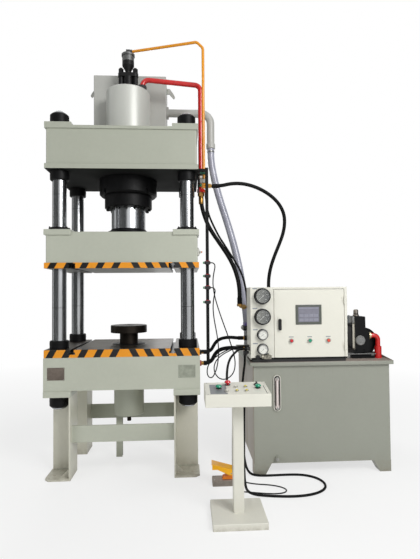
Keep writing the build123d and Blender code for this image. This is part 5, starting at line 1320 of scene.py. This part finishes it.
class LayHoses(bpy.types.Operator):
    """Lays the hoses and cables along their routes, with their crimped sleeves"""
    bl_idname = "press.lay_hoses"
    bl_label = "Lay the hoses and cables"

    def execute(self, context):
        for node, route, length, diameter, stiffness, lay, finish_name in HOSES:
            hose = self.hose(node + "_line", route, diameter)
            fittings = self.sleeves(node, route, diameter) if node in SLEEVED else []
            if node == "fill_hose":
                fittings.append(self.rib(hose, diameter))
            dressed(hose, finish_name)
            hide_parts(node)
        return {"FINISHED"}

    @staticmethod
    def hose(name, route, diameter):
        data = bpy.data.curves.new(name, "CURVE")
        data.dimensions = "3D"
        data.bevel_depth = diameter / 2
        data.bevel_resolution = 5
        data.resolution_u = 10
        data.use_fill_caps = True
        line = data.splines.new("NURBS")
        line.points.add(len(route) - 1)
        for point, place in zip(line.points, route):
            point.co = (*place, 1.0)
        line.order_u = 3
        line.use_endpoint_u = True
        hose = bpy.data.objects.new(name, data)
        bpy.context.scene.collection.objects.link(hose)
        return hose

    @staticmethod
    def sleeves(node, route, diameter):
        """Crimped sleeves on both ends, each with its pressed rings."""
        pieces = []
        length = min(0.06, 2.0 * diameter)
        for end, inner in ((route[0], route[1]), (route[-1], route[-2])):
            axis = Vector(inner) - Vector(end)
            reach = min(length, axis.length * 0.92)
            sleeve = bar_piece("sleeve", end, axis, reach, diameter * 0.58, 32)
            rings = [ring_piece("ridge", Vector(end) + axis.normalized() * reach * share, axis,
                                diameter * 0.555, diameter * 0.06) for share in (0.25, 0.45, 0.65, 0.85)]
            pieces.append(joined("sleeve", [eased(sleeve, diameter * 0.04, 1)] + [smooth(r) for r in rings]))
        return [dressed(joined(node + "_sleeves", pieces), "black_oxide")]

    @staticmethod
    def rib(hose, diameter):
        """The stiffening spiral, wound along the hose's own line."""
        pitch, per_turn, wire, reach = 0.016, 14, 0.0016, diameter * 0.487
        bare = hose.data.copy()
        bare.bevel_depth = 0.0
        probe = bpy.data.objects.new("probe", bare)
        line = bpy.data.meshes.new_from_object(probe)
        points = [vertex.co.copy() for vertex in line.vertices]
        bpy.data.objects.remove(probe)
        reached = [0.0]
        for a, b in zip(points, points[1:]):
            reached.append(reached[-1] + (b - a).length)
        count = int(reached[-1] / pitch * per_turn)
        spiral = bpy.data.curves.new("fill_hose_rib", "CURVE")
        spiral.dimensions = "3D"
        spiral.bevel_depth = wire
        spiral.bevel_resolution = 1
        spiral.use_fill_caps = True
        winding = spiral.splines.new("POLY")
        winding.points.add(count)
        segment = 0
        for index in range(count + 1):
            along = reached[-1] * index / count
            while segment < len(points) - 2 and reached[segment + 1] < along:
                segment += 1
            a, b = points[segment], points[segment + 1]
            share = (along - reached[segment]) / (reached[segment + 1] - reached[segment])
            axis = (b - a).normalized()
            side = axis.cross(Vector((0.0, 1.0, 0.0))).normalized()
            angle = math.tau * index / per_turn
            out = side * math.cos(angle) + axis.cross(side) * math.sin(angle)
            winding.points[index].co = (*(a.lerp(b, share) + out * reach), 1.0)
        piece = bpy.data.objects.new("fill_hose_rib", spiral)
        bpy.context.scene.collection.objects.link(piece)
        return dressed(piece, "fill_hose_rib")


# Detail pieces


def soft_box(name, low, high, ease=0.0006, segments=2):
    """A block with broken edges."""
    return eased(box_piece(name, low, high), ease, segments)


def upright(name, foot, height, radius, sides):
    """A round bar along +Z of a pattern, from a height of its foot."""
    return bar_piece(name, (0, 0, foot), UP, height, radius, sides)


def looking(direction):
    """A test for the faces that look along a direction."""
    return lambda middle, normal: normal.dot(Vector(direction)) > 0.9


def tapered(piece, test, factor):
    """Scales the chosen faces about their own middle."""
    choose(piece, test)
    bpy.ops.transform.resize(value=(factor, factor, factor))
    bpy.ops.object.mode_set(mode="OBJECT")
    return piece


def band(name, middle, outer, inner, width, sides=48):
    """A flat ring round an upright axis, with its edges broken."""
    start = Vector(middle) - Vector(UP) * width / 2
    hoop = bar_piece(name, start, UP, width, outer, sides)
    bore = bar_piece("bore", start - Vector(UP) * width, UP, width * 3, inner, sides)
    return eased(cut(hoop, bore), min(width, outer - inner) * 0.15, 1)


def lettering(text, size, place):
    """Figures as a mesh, centred on a place and facing +Z."""
    select_none()
    bpy.ops.object.text_add()
    piece = named("figure")
    piece.data.body = text
    piece.data.size = size
    piece.data.align_x = "CENTER"
    piece.data.align_y = "CENTER"
    bpy.ops.object.convert(target="MESH")
    piece = named("figure")
    piece.location = place
    return settled(piece)


FRONT = facing(FORWARD)
HUNG = Matrix.Rotation(math.pi, 4, "X")


class AddPlates(bpy.types.Operator):
    """Adds the two bare plates on the bed with their rivets, and the label strips on the cabinet"""
    bl_idname = "press.add_plates"
    bl_label = "Add the plates and labels"

    def execute(self, context):
        sizes = context.scene.press_sizes
        outside = BED_FACE - sizes.plate_thick
        inset = 0.007
        for name, left, right, low, high, finish_name in (
                ("bed_plate_left", -0.572, -0.441, 0.768, 0.865, "brown_plate"),
                ("bed_plate_right", 0.432, 0.565, 0.771, 0.870, "pale_plate")):
            plate = box_piece(name, (left, outside, low), (right, BED_FACE + 0.0005, high))
            stepped(plate, looking(FORWARD), [(0.004, 0.0), (0.0012, -0.0004)])
            dressed(eased(plate, 0.0004, 1), finish_name)
            rivet = tapered(upright("rivet", 0, 0.0022, sizes.rivet, 16), looking(UP), 0.6)
            spots = [at(x, outside + 0.0002, z) @ FRONT
                     for x in (left + inset, right - inset) for z in (low + inset, high - inset)]
            fitted(smooth(rivet), name + "_rivets", spots, "zinc")
        self.labels("gauge_labels", 0.0045, [(1.037, z) for z in (1.4610, 1.3045, 1.1380, 1.0290)], "frame")
        self.labels("button_labels", 0.0035, [(x, 1.077) for x in DOOR_BUTTONS], "cabinet_door")
        # Painted shade: a thin black strip along the cabinet's foot stands in for the shadow gap under it.
        dark_band = soft_box("cabinet_seal", (1.004, -0.4205, 0.9045), (1.774, -0.4165, 0.9165), 0.0012)
        dressed(dark_band, "hose_rubber")
        return {"FINISHED"}

    @staticmethod
    def labels(name, half_height, places, body):
        """Bare label strips on the cabinet's front, each given by its X and Z."""
        strip = soft_box("strip", (-0.019, -half_height, 0.0), (0.019, half_height, 0.0006), 0.0002, 1)
        fitted(strip, name, [at(x, -0.4179, z) @ FRONT for x, z in places], "label_grey", body=body)


class AddBedParts(bpy.types.Operator):
    """Closes the bed's front and back flush with its corners and adds the bearing strips below them"""
    bl_idname = "press.add_bed_parts"
    bl_label = "Add the bed's front and strips"

    def execute(self, context):
        skin = box_piece("skin", (-0.395, BED_FACE, 0.686), (0.395, -0.3895, 0.938))
        skin = stepped(skin, looking(DOWNWARD), [(0.002, 0.0), (0.001, -0.001)])
        strips = [soft_box("strip", (left, -0.411, 0.6365), (left + 0.208, -0.4015, 0.682), 0.0015)
                  for left in (-0.6015, 0.3935)]
        front_and_back = [at(0, 0, 0), Matrix.Rotation(math.pi, 4, "Z")]
        fitted(skin, "bed_skins", front_and_back, "bed_enamel")
        fitted(joined("strips", strips), "bed_strips", front_and_back, "press_enamel")
        return {"FINISHED"}


class BuildLid(bpy.types.Operator):
    """Builds the tank's lid with its low front edge, rising side walls, return neck and breather"""
    bl_idname = "press.build_lid"
    bl_label = "Build the tank's lid"

    def execute(self, context):
        lid = smooth(joined("tank_lid_pressed", self.tray() + self.fittings()))
        dressed(lid, "lid_enamel")
        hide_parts("tank_lid")
        base = [soft_box("plate", (1.800, -0.298, 0.9140), (2.058, -0.205, 0.9205), 0.001)]
        base += [soft_box("foot", (x, -0.290, 0.8812), (x + 0.026, -0.215, 0.9145), 0.001)
                 for x in (1.818, 2.022)]
        base.append(soft_box("strip", (1.8668, -0.290, 1.1705), (1.8828, -0.212, 1.2235), 0.0008))
        dressed(joined("pump_base", base), "cover_grey")
        return {"FINISHED"}

    @staticmethod
    def tray():
        """The lid's plate, its two side walls, cut down to the front, and its back wall."""
        low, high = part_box("tank_lid")
        wall, root, crest = 0.004, LID_TOP - 0.002, 0.905
        pieces = [soft_box("plate", low, (high.x, high.y, LID_TOP), 0.002)]
        for left in (low.x, high.x - wall):
            side = box_piece("side", (left, low.y + 0.002, root), (left + wall, high.y, crest))
            choose(side, lambda middle, normal: True)
            bpy.ops.mesh.bisect(plane_co=(0, low.y, LID_TOP - 0.001), plane_no=(0.0, -0.09, 1.0),
                                use_fill=True, clear_outer=True)
            bpy.ops.object.mode_set(mode="OBJECT")
            pieces.append(side)
        back = box_piece("back", (low.x + wall, high.y - wall, root), (high.x - wall, high.y, crest))
        return pieces + [back]

    @staticmethod
    def fittings():
        """The return neck on its flange, and the breather."""
        neck = [eased(bar_piece("flange", (*RETURN_NECK, 0.880), UP, 0.033, 0.042, 48), 0.002),
                eased(bar_piece("neck", (*RETURN_NECK, 0.910), UP, 0.0307, 0.035, 48), 0.001)]
        cap = eased(bar_piece("cap", (*BREATHER, 0.905), UP, 0.0385, 0.040, 48), 0.002)
        cap = stepped(cap, looking(UP), [(0.007, 0.0092), (0.004, -0.001)])
        stem = eased(bar_piece("stem", (*BREATHER, 0.880), UP, 0.026, 0.028, 48), 0.001)
        return neck + [cap, stem]


# Each gauge: its name, level, dial plane, dial radius, card, scale, highest figure and reading
GAUGES = (
    ("gauge_top", 1.401, -0.459, 0.0535, "dial_grey", "pale_ink", 40, 0.0),
    ("gauge_second", 1.239, -0.459, 0.0535, "dial_grey", "pale_ink", 25, 0.0),
    ("gauge_third", 1.099, -0.447, 0.0335, "dial_pale", "dial_ink", 10, 0.04),
    ("gauge_low", 0.985, -0.447, 0.0335, "dial_pale", "dial_ink", 6, 0.0),
)


class AddGauges(bpy.types.Operator):
    """Fits the dials, scales, needles and glasses of the four pressure gauges"""
    bl_idname = "press.add_gauges"
    bl_label = "Fit the gauge dials"

    def execute(self, context):
        for name, level, plane, radius, card_finish, scale_finish, top, reading in GAUGES:
            spot = [at(GAUGE_X, plane, level) @ FRONT]
            card = upright("card", -0.0004, 0.0012, radius, 64)
            stepped(card, looking(UP), [(radius * 0.04, 0.0), (radius * 0.02, -0.0003)])
            fitted(smooth(card), name + "_card", spot, card_finish)
            fitted(self.scale(radius, top, reading), name + "_scale", spot, scale_finish)
            hub = eased(upright("hub", 0.0018, 0.0016, radius * 0.1, 20), 0.0004, 1)
            fitted(hub, name + "_hub", spot, "zinc")
            pane = eased(upright("pane", 0.0036, 0.0010, radius, 64), 0.0003, 1)
            fitted(pane, name + "_glass", spot, "dial_glass")
            hoop = ring_piece("hoop", (0, 0, 0.0046), UP, radius + 0.0005, 0.0012, 64, 10)
            hoop_finish = "gauge_case" if card_finish == "dial_grey" else "zinc"
            fitted(smooth(hoop), name + "_hoop", spot, hoop_finish)
        return {"FINISHED"}

    def scale(self, radius, top, reading):
        """Fine and main ticks, five figures and the needle."""
        pieces = [self.ticks(radius, 41, 0.86, 0.05, 0.010), self.ticks(radius, 9, 0.83, 0.09, 0.022)]
        for step in range(5):
            angle = self.angle(step / 4)
            place = (radius * 0.64 * math.cos(angle), radius * 0.64 * math.sin(angle), 0.0010)
            pieces.append(lettering(f"{top * step / 4:g}", radius * 0.2, place))
        return joined("scale", pieces + [self.needle(radius, self.angle(reading))])

    @staticmethod
    def angle(share):
        """Where a share of the scale lies, clockwise from the lower left."""
        return math.radians(225.0 - 270.0 * share)

    def ticks(self, radius, count, reach, length, width):
        tick = box_piece("tick", (radius * reach, -radius * width / 2, 0.0008),
                         (radius * (reach + length), radius * width / 2, 0.0011))
        tick = tapered(tick, looking((-1, 0, 0)), 0.8)
        return placed(tick, "ticks", [Matrix.Rotation(self.angle(step / (count - 1)), 4, "Z")
                                      for step in range(count)])

    @staticmethod
    def needle(radius, angle):
        blade = box_piece("blade", (-radius * 0.22, -radius * 0.03, 0.0020),
                          (radius * 0.8, radius * 0.03, 0.0025))
        blade = tapered(blade, looking((1, 0, 0)), 0.25)
        return placed(blade, "needle", [Matrix.Rotation(angle, 4, "Z")])


class AddDoorParts(bpy.types.Operator):
    """Adds the button bezels, the screen's fields and the lock of the cabinet door"""
    bl_idname = "press.add_door_parts"
    bl_label = "Add the door's parts"

    def execute(self, context):
        bezel = band("bezel", (0, 0, 0.002), 0.0178, 0.0131, 0.004)
        spots = [at(x, -0.4278, 1.048) @ FRONT for x in DOOR_BUTTONS]
        fitted(bezel, "door_button_bezels", spots, "zinc", body="cabinet_door")
        fields = [soft_box("status_bar", (1.385, -0.4237, 1.298), (1.544, -0.4228, 1.309), 0.0003, 1)]
        fields += [soft_box("key", (x, -0.4236, z), (x + 0.034, -0.4228, z + 0.022), 0.0003, 1)
                   for z in (1.200, 1.234) for x in (1.390, 1.429, 1.468, 1.507)]
        dressed(joined("screen_fields", fields), "screen_field", "cabinet_door")
        lock = cut(upright("lock", 0, 0.0028, 0.0066, 24),
                   box_piece("slot", (-0.0008, -0.004, 0.001), (0.0008, 0.004, 0.004)))
        fitted(eased(lock, 0.0005, 1), "handle_lock", [at(1.233, -0.4315, 1.208) @ FRONT], "zinc",
               body="cabinet_door")
        return {"FINISHED"}


def on_panel(places, lift=0.0):
    """Places on the console's sloping panel, looking along its normal, each given by its X and Y."""
    lean = Matrix.Rotation(math.atan(PANEL_SLOPE), 4, "X")
    return [at(x, y, 0.812 + (y + 1.211) * PANEL_SLOPE) @ lean @ at(0.0, 0.0, lift) for x, y in places]


class AddConsoleParts(bpy.types.Operator):
    """Adds the lens caps, bezels, collars and the slot of the two-hand console"""
    bl_idname = "press.add_console_parts"
    bl_label = "Add the console's parts"

    def execute(self, context):
        white = ((0.744, -1.154), (0.808, -1.075))
        yellow = ((0.807, -1.154), (0.868, -1.154), (0.870, -1.075))
        bezel = band("bezel", (0, 0, 0.0065), 0.0124, 0.0084, 0.005)
        fitted(bezel, "lamp_bezels", on_panel(white + yellow), "zinc")
        for name, places in (("lens_white", white), ("lens_yellow", yellow)):
            lens = eased(upright("lens", 0.007, 0.0075, 0.0083, 24), 0.0025, 3)
            fitted(lens, name + "_caps", on_panel(places), name)
        collar = band("collar", (0, 0, 0.0042), 0.0172, 0.0093, 0.0045)
        places = ((0.699, -1.096), (0.947, -1.096), (0.761, -1.024), (0.947, -1.032))
        fitted(collar, "button_collars", on_panel(places), "moulded_black")
        slot = soft_box("slot", (-0.0016, -0.080, 0.0), (0.0016, 0.080, 0.0005), 0.0002, 1)
        fitted(slot, "panel_slot", on_panel([(0.989, -1.122)]), "dial_ink")
        rim = soft_box("rim", (-0.196, -0.122, 0.0), (0.196, 0.122, 0.0012), 0.0005, 1)
        rim = cut(rim, box_piece("opening", (-0.190, -0.116, -0.01), (0.190, 0.116, 0.01)))
        fitted(rim, "panel_rim", on_panel([(0.811, -1.086)]), "stand_coat")
        places = [(x, y) for x in (0.628, 0.994) for y in (-1.198, -0.974)]
        fitted(socket_screw("screw", 0.0032, 0.0022), "panel_screws", on_panel(places, 0.0002), "zinc")
        return {"FINISHED"}


class AddScrews(bpy.types.Operator):
    """Adds the socket screws of the glands, collars, bushes and flanges"""
    bl_idname = "press.add_screws"
    bl_label = "Add the socket screws"

    def execute(self, context):
        bushes = [at(x, y, 0.0) @ spot for x, y in COLUMNS for spot in around(6, 0.07725, 1.9571, 30.0)]
        flange = [at(1.855, y, z) @ facing((-1.0, 0.0, 0.0))
                  for y in (-0.278, -0.218) for z in (0.975, 1.150)]
        head = [at(x, -0.2955, z) @ FRONT for x in (1.895, 1.962) for z in (0.950, 1.205)]
        for name, body, radius, height, spots in (
                ("gland_screws", "frame", 0.0134, 0.0166, [p @ HUNG for p in around(12, 0.178, 2.1660)]),
                ("collar_screws", "frame", 0.0114, 0.0148, around(12, 0.20525, 2.7800, 15.0)),
                ("bush_screws", "slide", 0.0054, 0.0068, bushes),
                ("ejector_flange_screws", "frame", 0.0104, 0.0150,
                 [p @ HUNG for p in around(10, 0.14475, 0.6615)]),
                ("guide_ring_screws", "frame", 0.0074, 0.0060, around(8, 0.10875, 0.9962, 22.5)),
                ("disc_screws", "ejector", 0.0084, 0.0080, around(4, 0.05115, 1.1462, 45.0)),
                ("prefill_screws", "frame", 0.0090, 0.0120, around(4, 0.0700, 3.2198, 45.0)),
                ("pump_flange_screws", "frame", 0.0080, 0.0080, flange),
                ("pump_head_screws", "frame", 0.0060, 0.0060, head)):
            fitted(socket_screw(name, radius, height), name, spots, "black_oxide", body)
        return {"FINISHED"}


class AddNutParts(bpy.types.Operator):
    """Adds the spanner holes and grub screws of the column nuts, and the ram's clamp collar"""
    bl_idname = "press.add_nut_parts"
    bl_label = "Add the nuts' parts"

    def execute(self, context):
        hole = bar_piece("hole", (0.0700, 0, 0), (1, 0, 0), 0.0040, 0.0080, 20)
        stepped(hole, looking((1, 0, 0)), [(0.0022, 0.0), (0.0002, -0.0035)])
        spots = [at(x, y, z) @ Matrix.Rotation(math.radians(turn), 4, "Z") for x, y in COLUMNS
                 for z in (0.596, 1.036, 2.376, 2.828) for turn in (15, 105, 195, 285)]
        fitted(smooth(hole), "spanner_holes", spots, "black_oxide")
        collar = upright("ram_collar", 1.9475, 0.0145, 0.1800, 96)
        stepped(collar, looking(UP), [(0.0010, 0.0), (0.0190, 0.0060), (0.0120, 0.0150), (0.0020, 0.0)])
        dressed(smooth(collar, 20.0), "black_oxide", "slide")
        return {"FINISHED"}


class AddPipeParts(bpy.types.Operator):
    """Adds the hose clamps, the prefill valve's studs, the pressure hose's sleeve and the sensors' threads"""
    bl_idname = "press.add_pipe_parts"
    bl_label = "Add the pipes' parts"

    def execute(self, context):
        self.hose_clamp("fill_clamp_top", Vector(FILL_HOSE_ROUTE[0]) - Vector((0, 0, 0.030)))
        self.hose_clamp("fill_clamp_foot", Vector(FILL_HOSE_ROUTE[-1]) + Vector((0, 0, 0.030)))
        stud = upright("stud", 0, 0.011, 0.0115, 24)
        thread = placed(ring_piece("thread", (0, 0, 0), UP, 0.0113, 0.0007, 24, 6), "thread",
                        [at(0, 0, 0.0015 + 0.002 * step) for step in range(4)])
        stud = joined("stud", [eased(stud, 0.0012, 1), smooth(thread)])
        fitted(stud, "prefill_studs", [at(x, 0.0, 3.4045) for x in (-0.062, 0.062)], "zinc")
        turns = placed(ring_piece("turn", (0, 0, 0), (1, 0, 0), 0.0090, 0.0006, 24, 6), "turns",
                       [at(0.6420 + 0.0017 * step, 0, 0) for step in range(3)]
                       + [at(0.6550 + 0.0030 * step, 0, 0) for step in range(10)])
        spots = [at(0.0, -0.3285, z) for z in (1.357, 1.473, 1.566, 1.673)]
        fitted(smooth(turns), "sensor_threads", spots, "zinc")
        sleeve = bar_piece("sleeve", PRESSURE_HOSE_ROUTE[0], (0.02, -0.01, -1.0), 0.066, 0.0215, 32)
        sleeve = stepped(sleeve, looking(DOWNWARD), [(0.002, 0.0), (0.001, -0.003)])
        dressed(eased(sleeve, 0.0015, 2), "brass")
        return {"FINISHED"}

    @staticmethod
    def hose_clamp(name, middle):
        """Worm-drive clamp: a band, its housing and the screw."""
        pieces = [band("band", middle, 0.0352, 0.0336, 0.012)]
        pieces.append(soft_box("housing", middle + Vector((-0.010, -0.0435, -0.007)),
                               middle + Vector((0.010, -0.0345, 0.007)), 0.0015))
        screw = bar_piece("screw", middle + Vector((0.009, -0.039, 0.0)), (1, 0, 0), 0.010, 0.0042, 6)
        pieces.append(eased(screw, 0.0006, 1))
        dressed(joined(name, pieces), "zinc")


class AddUnitParts(bpy.types.Operator):
    """Adds the small parts of the pump, motor, valves, tank and level gauge"""
    bl_idname = "press.add_unit_parts"
    bl_label = "Add the power unit's parts"

    def execute(self, context):
        cover = bar_piece("pump_cover", (1.927, -0.3060, 1.029), FORWARD, 0.0045, 0.0385, 8)
        stepped(cover, looking(FORWARD), [(0.006, 0.0), (0.002, -0.0016), (0.010, 0.0), (0.002, 0.0016)])
        dressed(eased(cover, 0.0008, 1), "cover_grey")
        cap = soft_box("cap", (1.921, 0.146, 1.196), (2.049, 0.274, 1.206), 0.003)
        screws = placed(socket_screw("screw", 0.0055, 0.004), "screws",
                        [at(x, y, 1.2058) for x in (1.931, 2.039) for y in (0.156, 0.264)])
        dressed(joined("terminal_lid", [cap, screws]), "motor_grey")
        eye = [smooth(ring_piece("eye", (1.985, 0.352, 1.167), (0, 1, 0), 0.018, 0.0055, 40, 14)),
               eased(bar_piece("foot", (1.985, 0.352, 1.136), UP, 0.014, 0.014, 28), 0.002, 2)]
        dressed(joined("motor_eye_bolt", eye), "zinc")
        self.coils()
        self.tank()
        return {"FINISHED"}

    @staticmethod
    def coils():
        """Hexagon nuts on the coils' ends, screws in the plugs and socket plugs in the block."""
        spots = [at(x, y, 1.129) @ facing((side, 0, 0)) for y in VALVE_ROWS
                 for x, side in ((0.9782, -1.0), (1.2258, 1.0))]
        fitted(hexagon_nut("nut", 0.014, 0.007, 0.005), "coil_nuts", spots, "zinc")
        spots = [at(x, y, 1.1728) for x in (0.995, 1.028) for y in VALVE_ROWS]
        fitted(socket_screw("screw", 0.0032, 0.0022), "plug_screws", spots, "zinc")
        spots = [at(x, y + side, 1.1625)
                 for x in (1.081, 1.147) for y in VALVE_ROWS for side in (-0.013, 0.013)]
        fitted(socket_screw("screw", 0.0052, 0.0050), "valve_screws", spots, "black_oxide")
        spots = [at(x, 0.0095, z) @ facing((0, 1, 0)) for x in (1.06, 1.14, 1.22) for z in (0.955, 1.035)]
        fitted(socket_screw("plug", 0.012, 0.004), "block_plugs", spots, "black_oxide")

    @staticmethod
    def tank():
        """Knurled breather cap, drain plug, level gauge bolts and its two level marks."""
        turns = [Matrix.Rotation(math.tau * step / 40, 4, "Z") for step in range(40)]
        knurl = placed(bar_piece("knurl", (0.0398, 0, 0), UP, 0.026, 0.0016, 8), "knurl",
                       [at(*BREATHER, 0.913) @ turn for turn in turns])
        dressed(smooth(knurl), "tank_enamel")
        spot = at(1.199, -0.4308, 0.130) @ FRONT
        fitted(hexagon_nut("plug", 0.013, 0.010, 0.003), "drain_plug", [spot], "zinc")
        spots = [at(1.2065, -0.4268, z) @ FRONT for z in (0.520, 0.756)]
        fitted(hexagon_nut("bolt", 0.0112, 0.0045, 0.0022), "level_bolts", spots, "zinc")
        marks = [soft_box("mark", (1.1795, -0.4198, z), (1.1885, -0.4188, z + 0.0025), 0.0002, 1)
                 for z in (0.575, 0.705)]
        dressed(joined("level_marks", marks), "dial_ink")


class AddPedalParts(bpy.types.Operator):
    """Adds the grip ribs of the treadle and the screws of its base"""
    bl_idname = "press.add_pedal_parts"
    bl_label = "Add the pedal's parts"

    def execute(self, context):
        rib = bar_piece("rib", (0.0, -0.040, 0.0), (0, 1, 0), 0.080, 0.0016, 10)
        pitch, slope = 0.011, (0.162 - 0.118) / (0.838 - 0.685)
        spots = [at(0.694 + pitch * step, PEDAL_Y, 0.1622 - slope * (0.009 + pitch * step))
                 for step in range(9)]
        fitted(eased(rib, 0.0004, 1, 60.0), "treadle_ribs", spots, "pedal_yellow",
               "pedal_plate")
        spots = [at(0.697, y, 0.0436) for y in (-0.573, -0.501)]
        fitted(socket_screw("screw", 0.005, 0.003), "pedal_screws", spots, "zinc")
        ring = placed(ring_piece("ring", (0, 0, 0), (1, 0, 0), 0.0088, 0.0011, 28, 8), "ring",
                      [at(0.843 + 0.0045 * step, PEDAL_Y, 0.022) for step in range(4)])
        dressed(smooth(ring), "moulded_black")
        return {"FINISHED"}


class AddWelds(bpy.types.Operator):
    """Lays the rippled welds of the legs, the stretchers and the fill tank"""
    bl_idname = "press.add_welds"
    bl_label = "Lay the welds"

    def execute(self, context):
        pitch = 0.0055
        spots = []
        for side in (-1, 1):
            for back in (-1, 1):
                spots += [at(side * 0.3935, back * 0.3475, 0.280 + pitch * step) for step in range(23)]
                spots += [at(side * (0.4125 + pitch * step), back * 0.1925, 0.0165) for step in range(30)]
        spots += [at(side * 0.3265, 0.354, 3.355 + pitch * step) for side in (-1, 1) for step in range(8)]
        select_none()
        bpy.ops.mesh.primitive_uv_sphere_add(segments=10, ring_count=6, radius=0.0048)
        drop = named("drop")
        drop.scale = (1.0, 1.0, 0.62)
        fitted(smooth(settled(drop), 60.0), "weld_beads", spots, "press_enamel")
        return {"FINISHED"}


OPERATORS = (SetStage, FinishNodes, LayHoses, AddPlates, AddBedParts, BuildLid, AddGauges, AddDoorParts,
             AddConsoleParts, AddScrews, AddNutParts, AddPipeParts, AddUnitParts, AddPedalParts, AddWelds)


class PressPanel(bpy.types.Panel):
    """Lists the sizes and colours of the press and the steps that dress it"""
    bl_idname = "VIEW3D_PT_press"
    bl_label = "Press"
    bl_space_type = "VIEW_3D"
    bl_region_type = "UI"
    bl_category = "Press"

    def draw(self, context):
        layout = self.layout
        for operator in OPERATORS:
            layout.operator(operator.bl_idname)
        for group in (context.scene.press_colours, context.scene.press_sizes, context.scene.press_stage):
            box = layout.box()
            for name in group.__annotations__:
                box.prop(group, name)


CLASSES = (PressColours, PressStage, PressSizes, *OPERATORS, PressPanel)


def register():
    for cls in CLASSES:
        bpy.utils.register_class(cls)
    bpy.types.Scene.press_colours = bpy.props.PointerProperty(type=PressColours)
    bpy.types.Scene.press_stage = bpy.props.PointerProperty(type=PressStage)
    bpy.types.Scene.press_sizes = bpy.props.PointerProperty(type=PressSizes)


def unregister():
    for name in ("press_colours", "press_stage", "press_sizes"):
        delattr(bpy.types.Scene, name)
    for cls in reversed(CLASSES):
        bpy.utils.unregister_class(cls)


def main():
    register()
    for operator in OPERATORS:
        group, action = operator.bl_idname.split(".")
        getattr(getattr(bpy.ops, group), action)()
    select_none()
    bpy.context.view_layer.update()


if __name__ == "__main__":
    main()
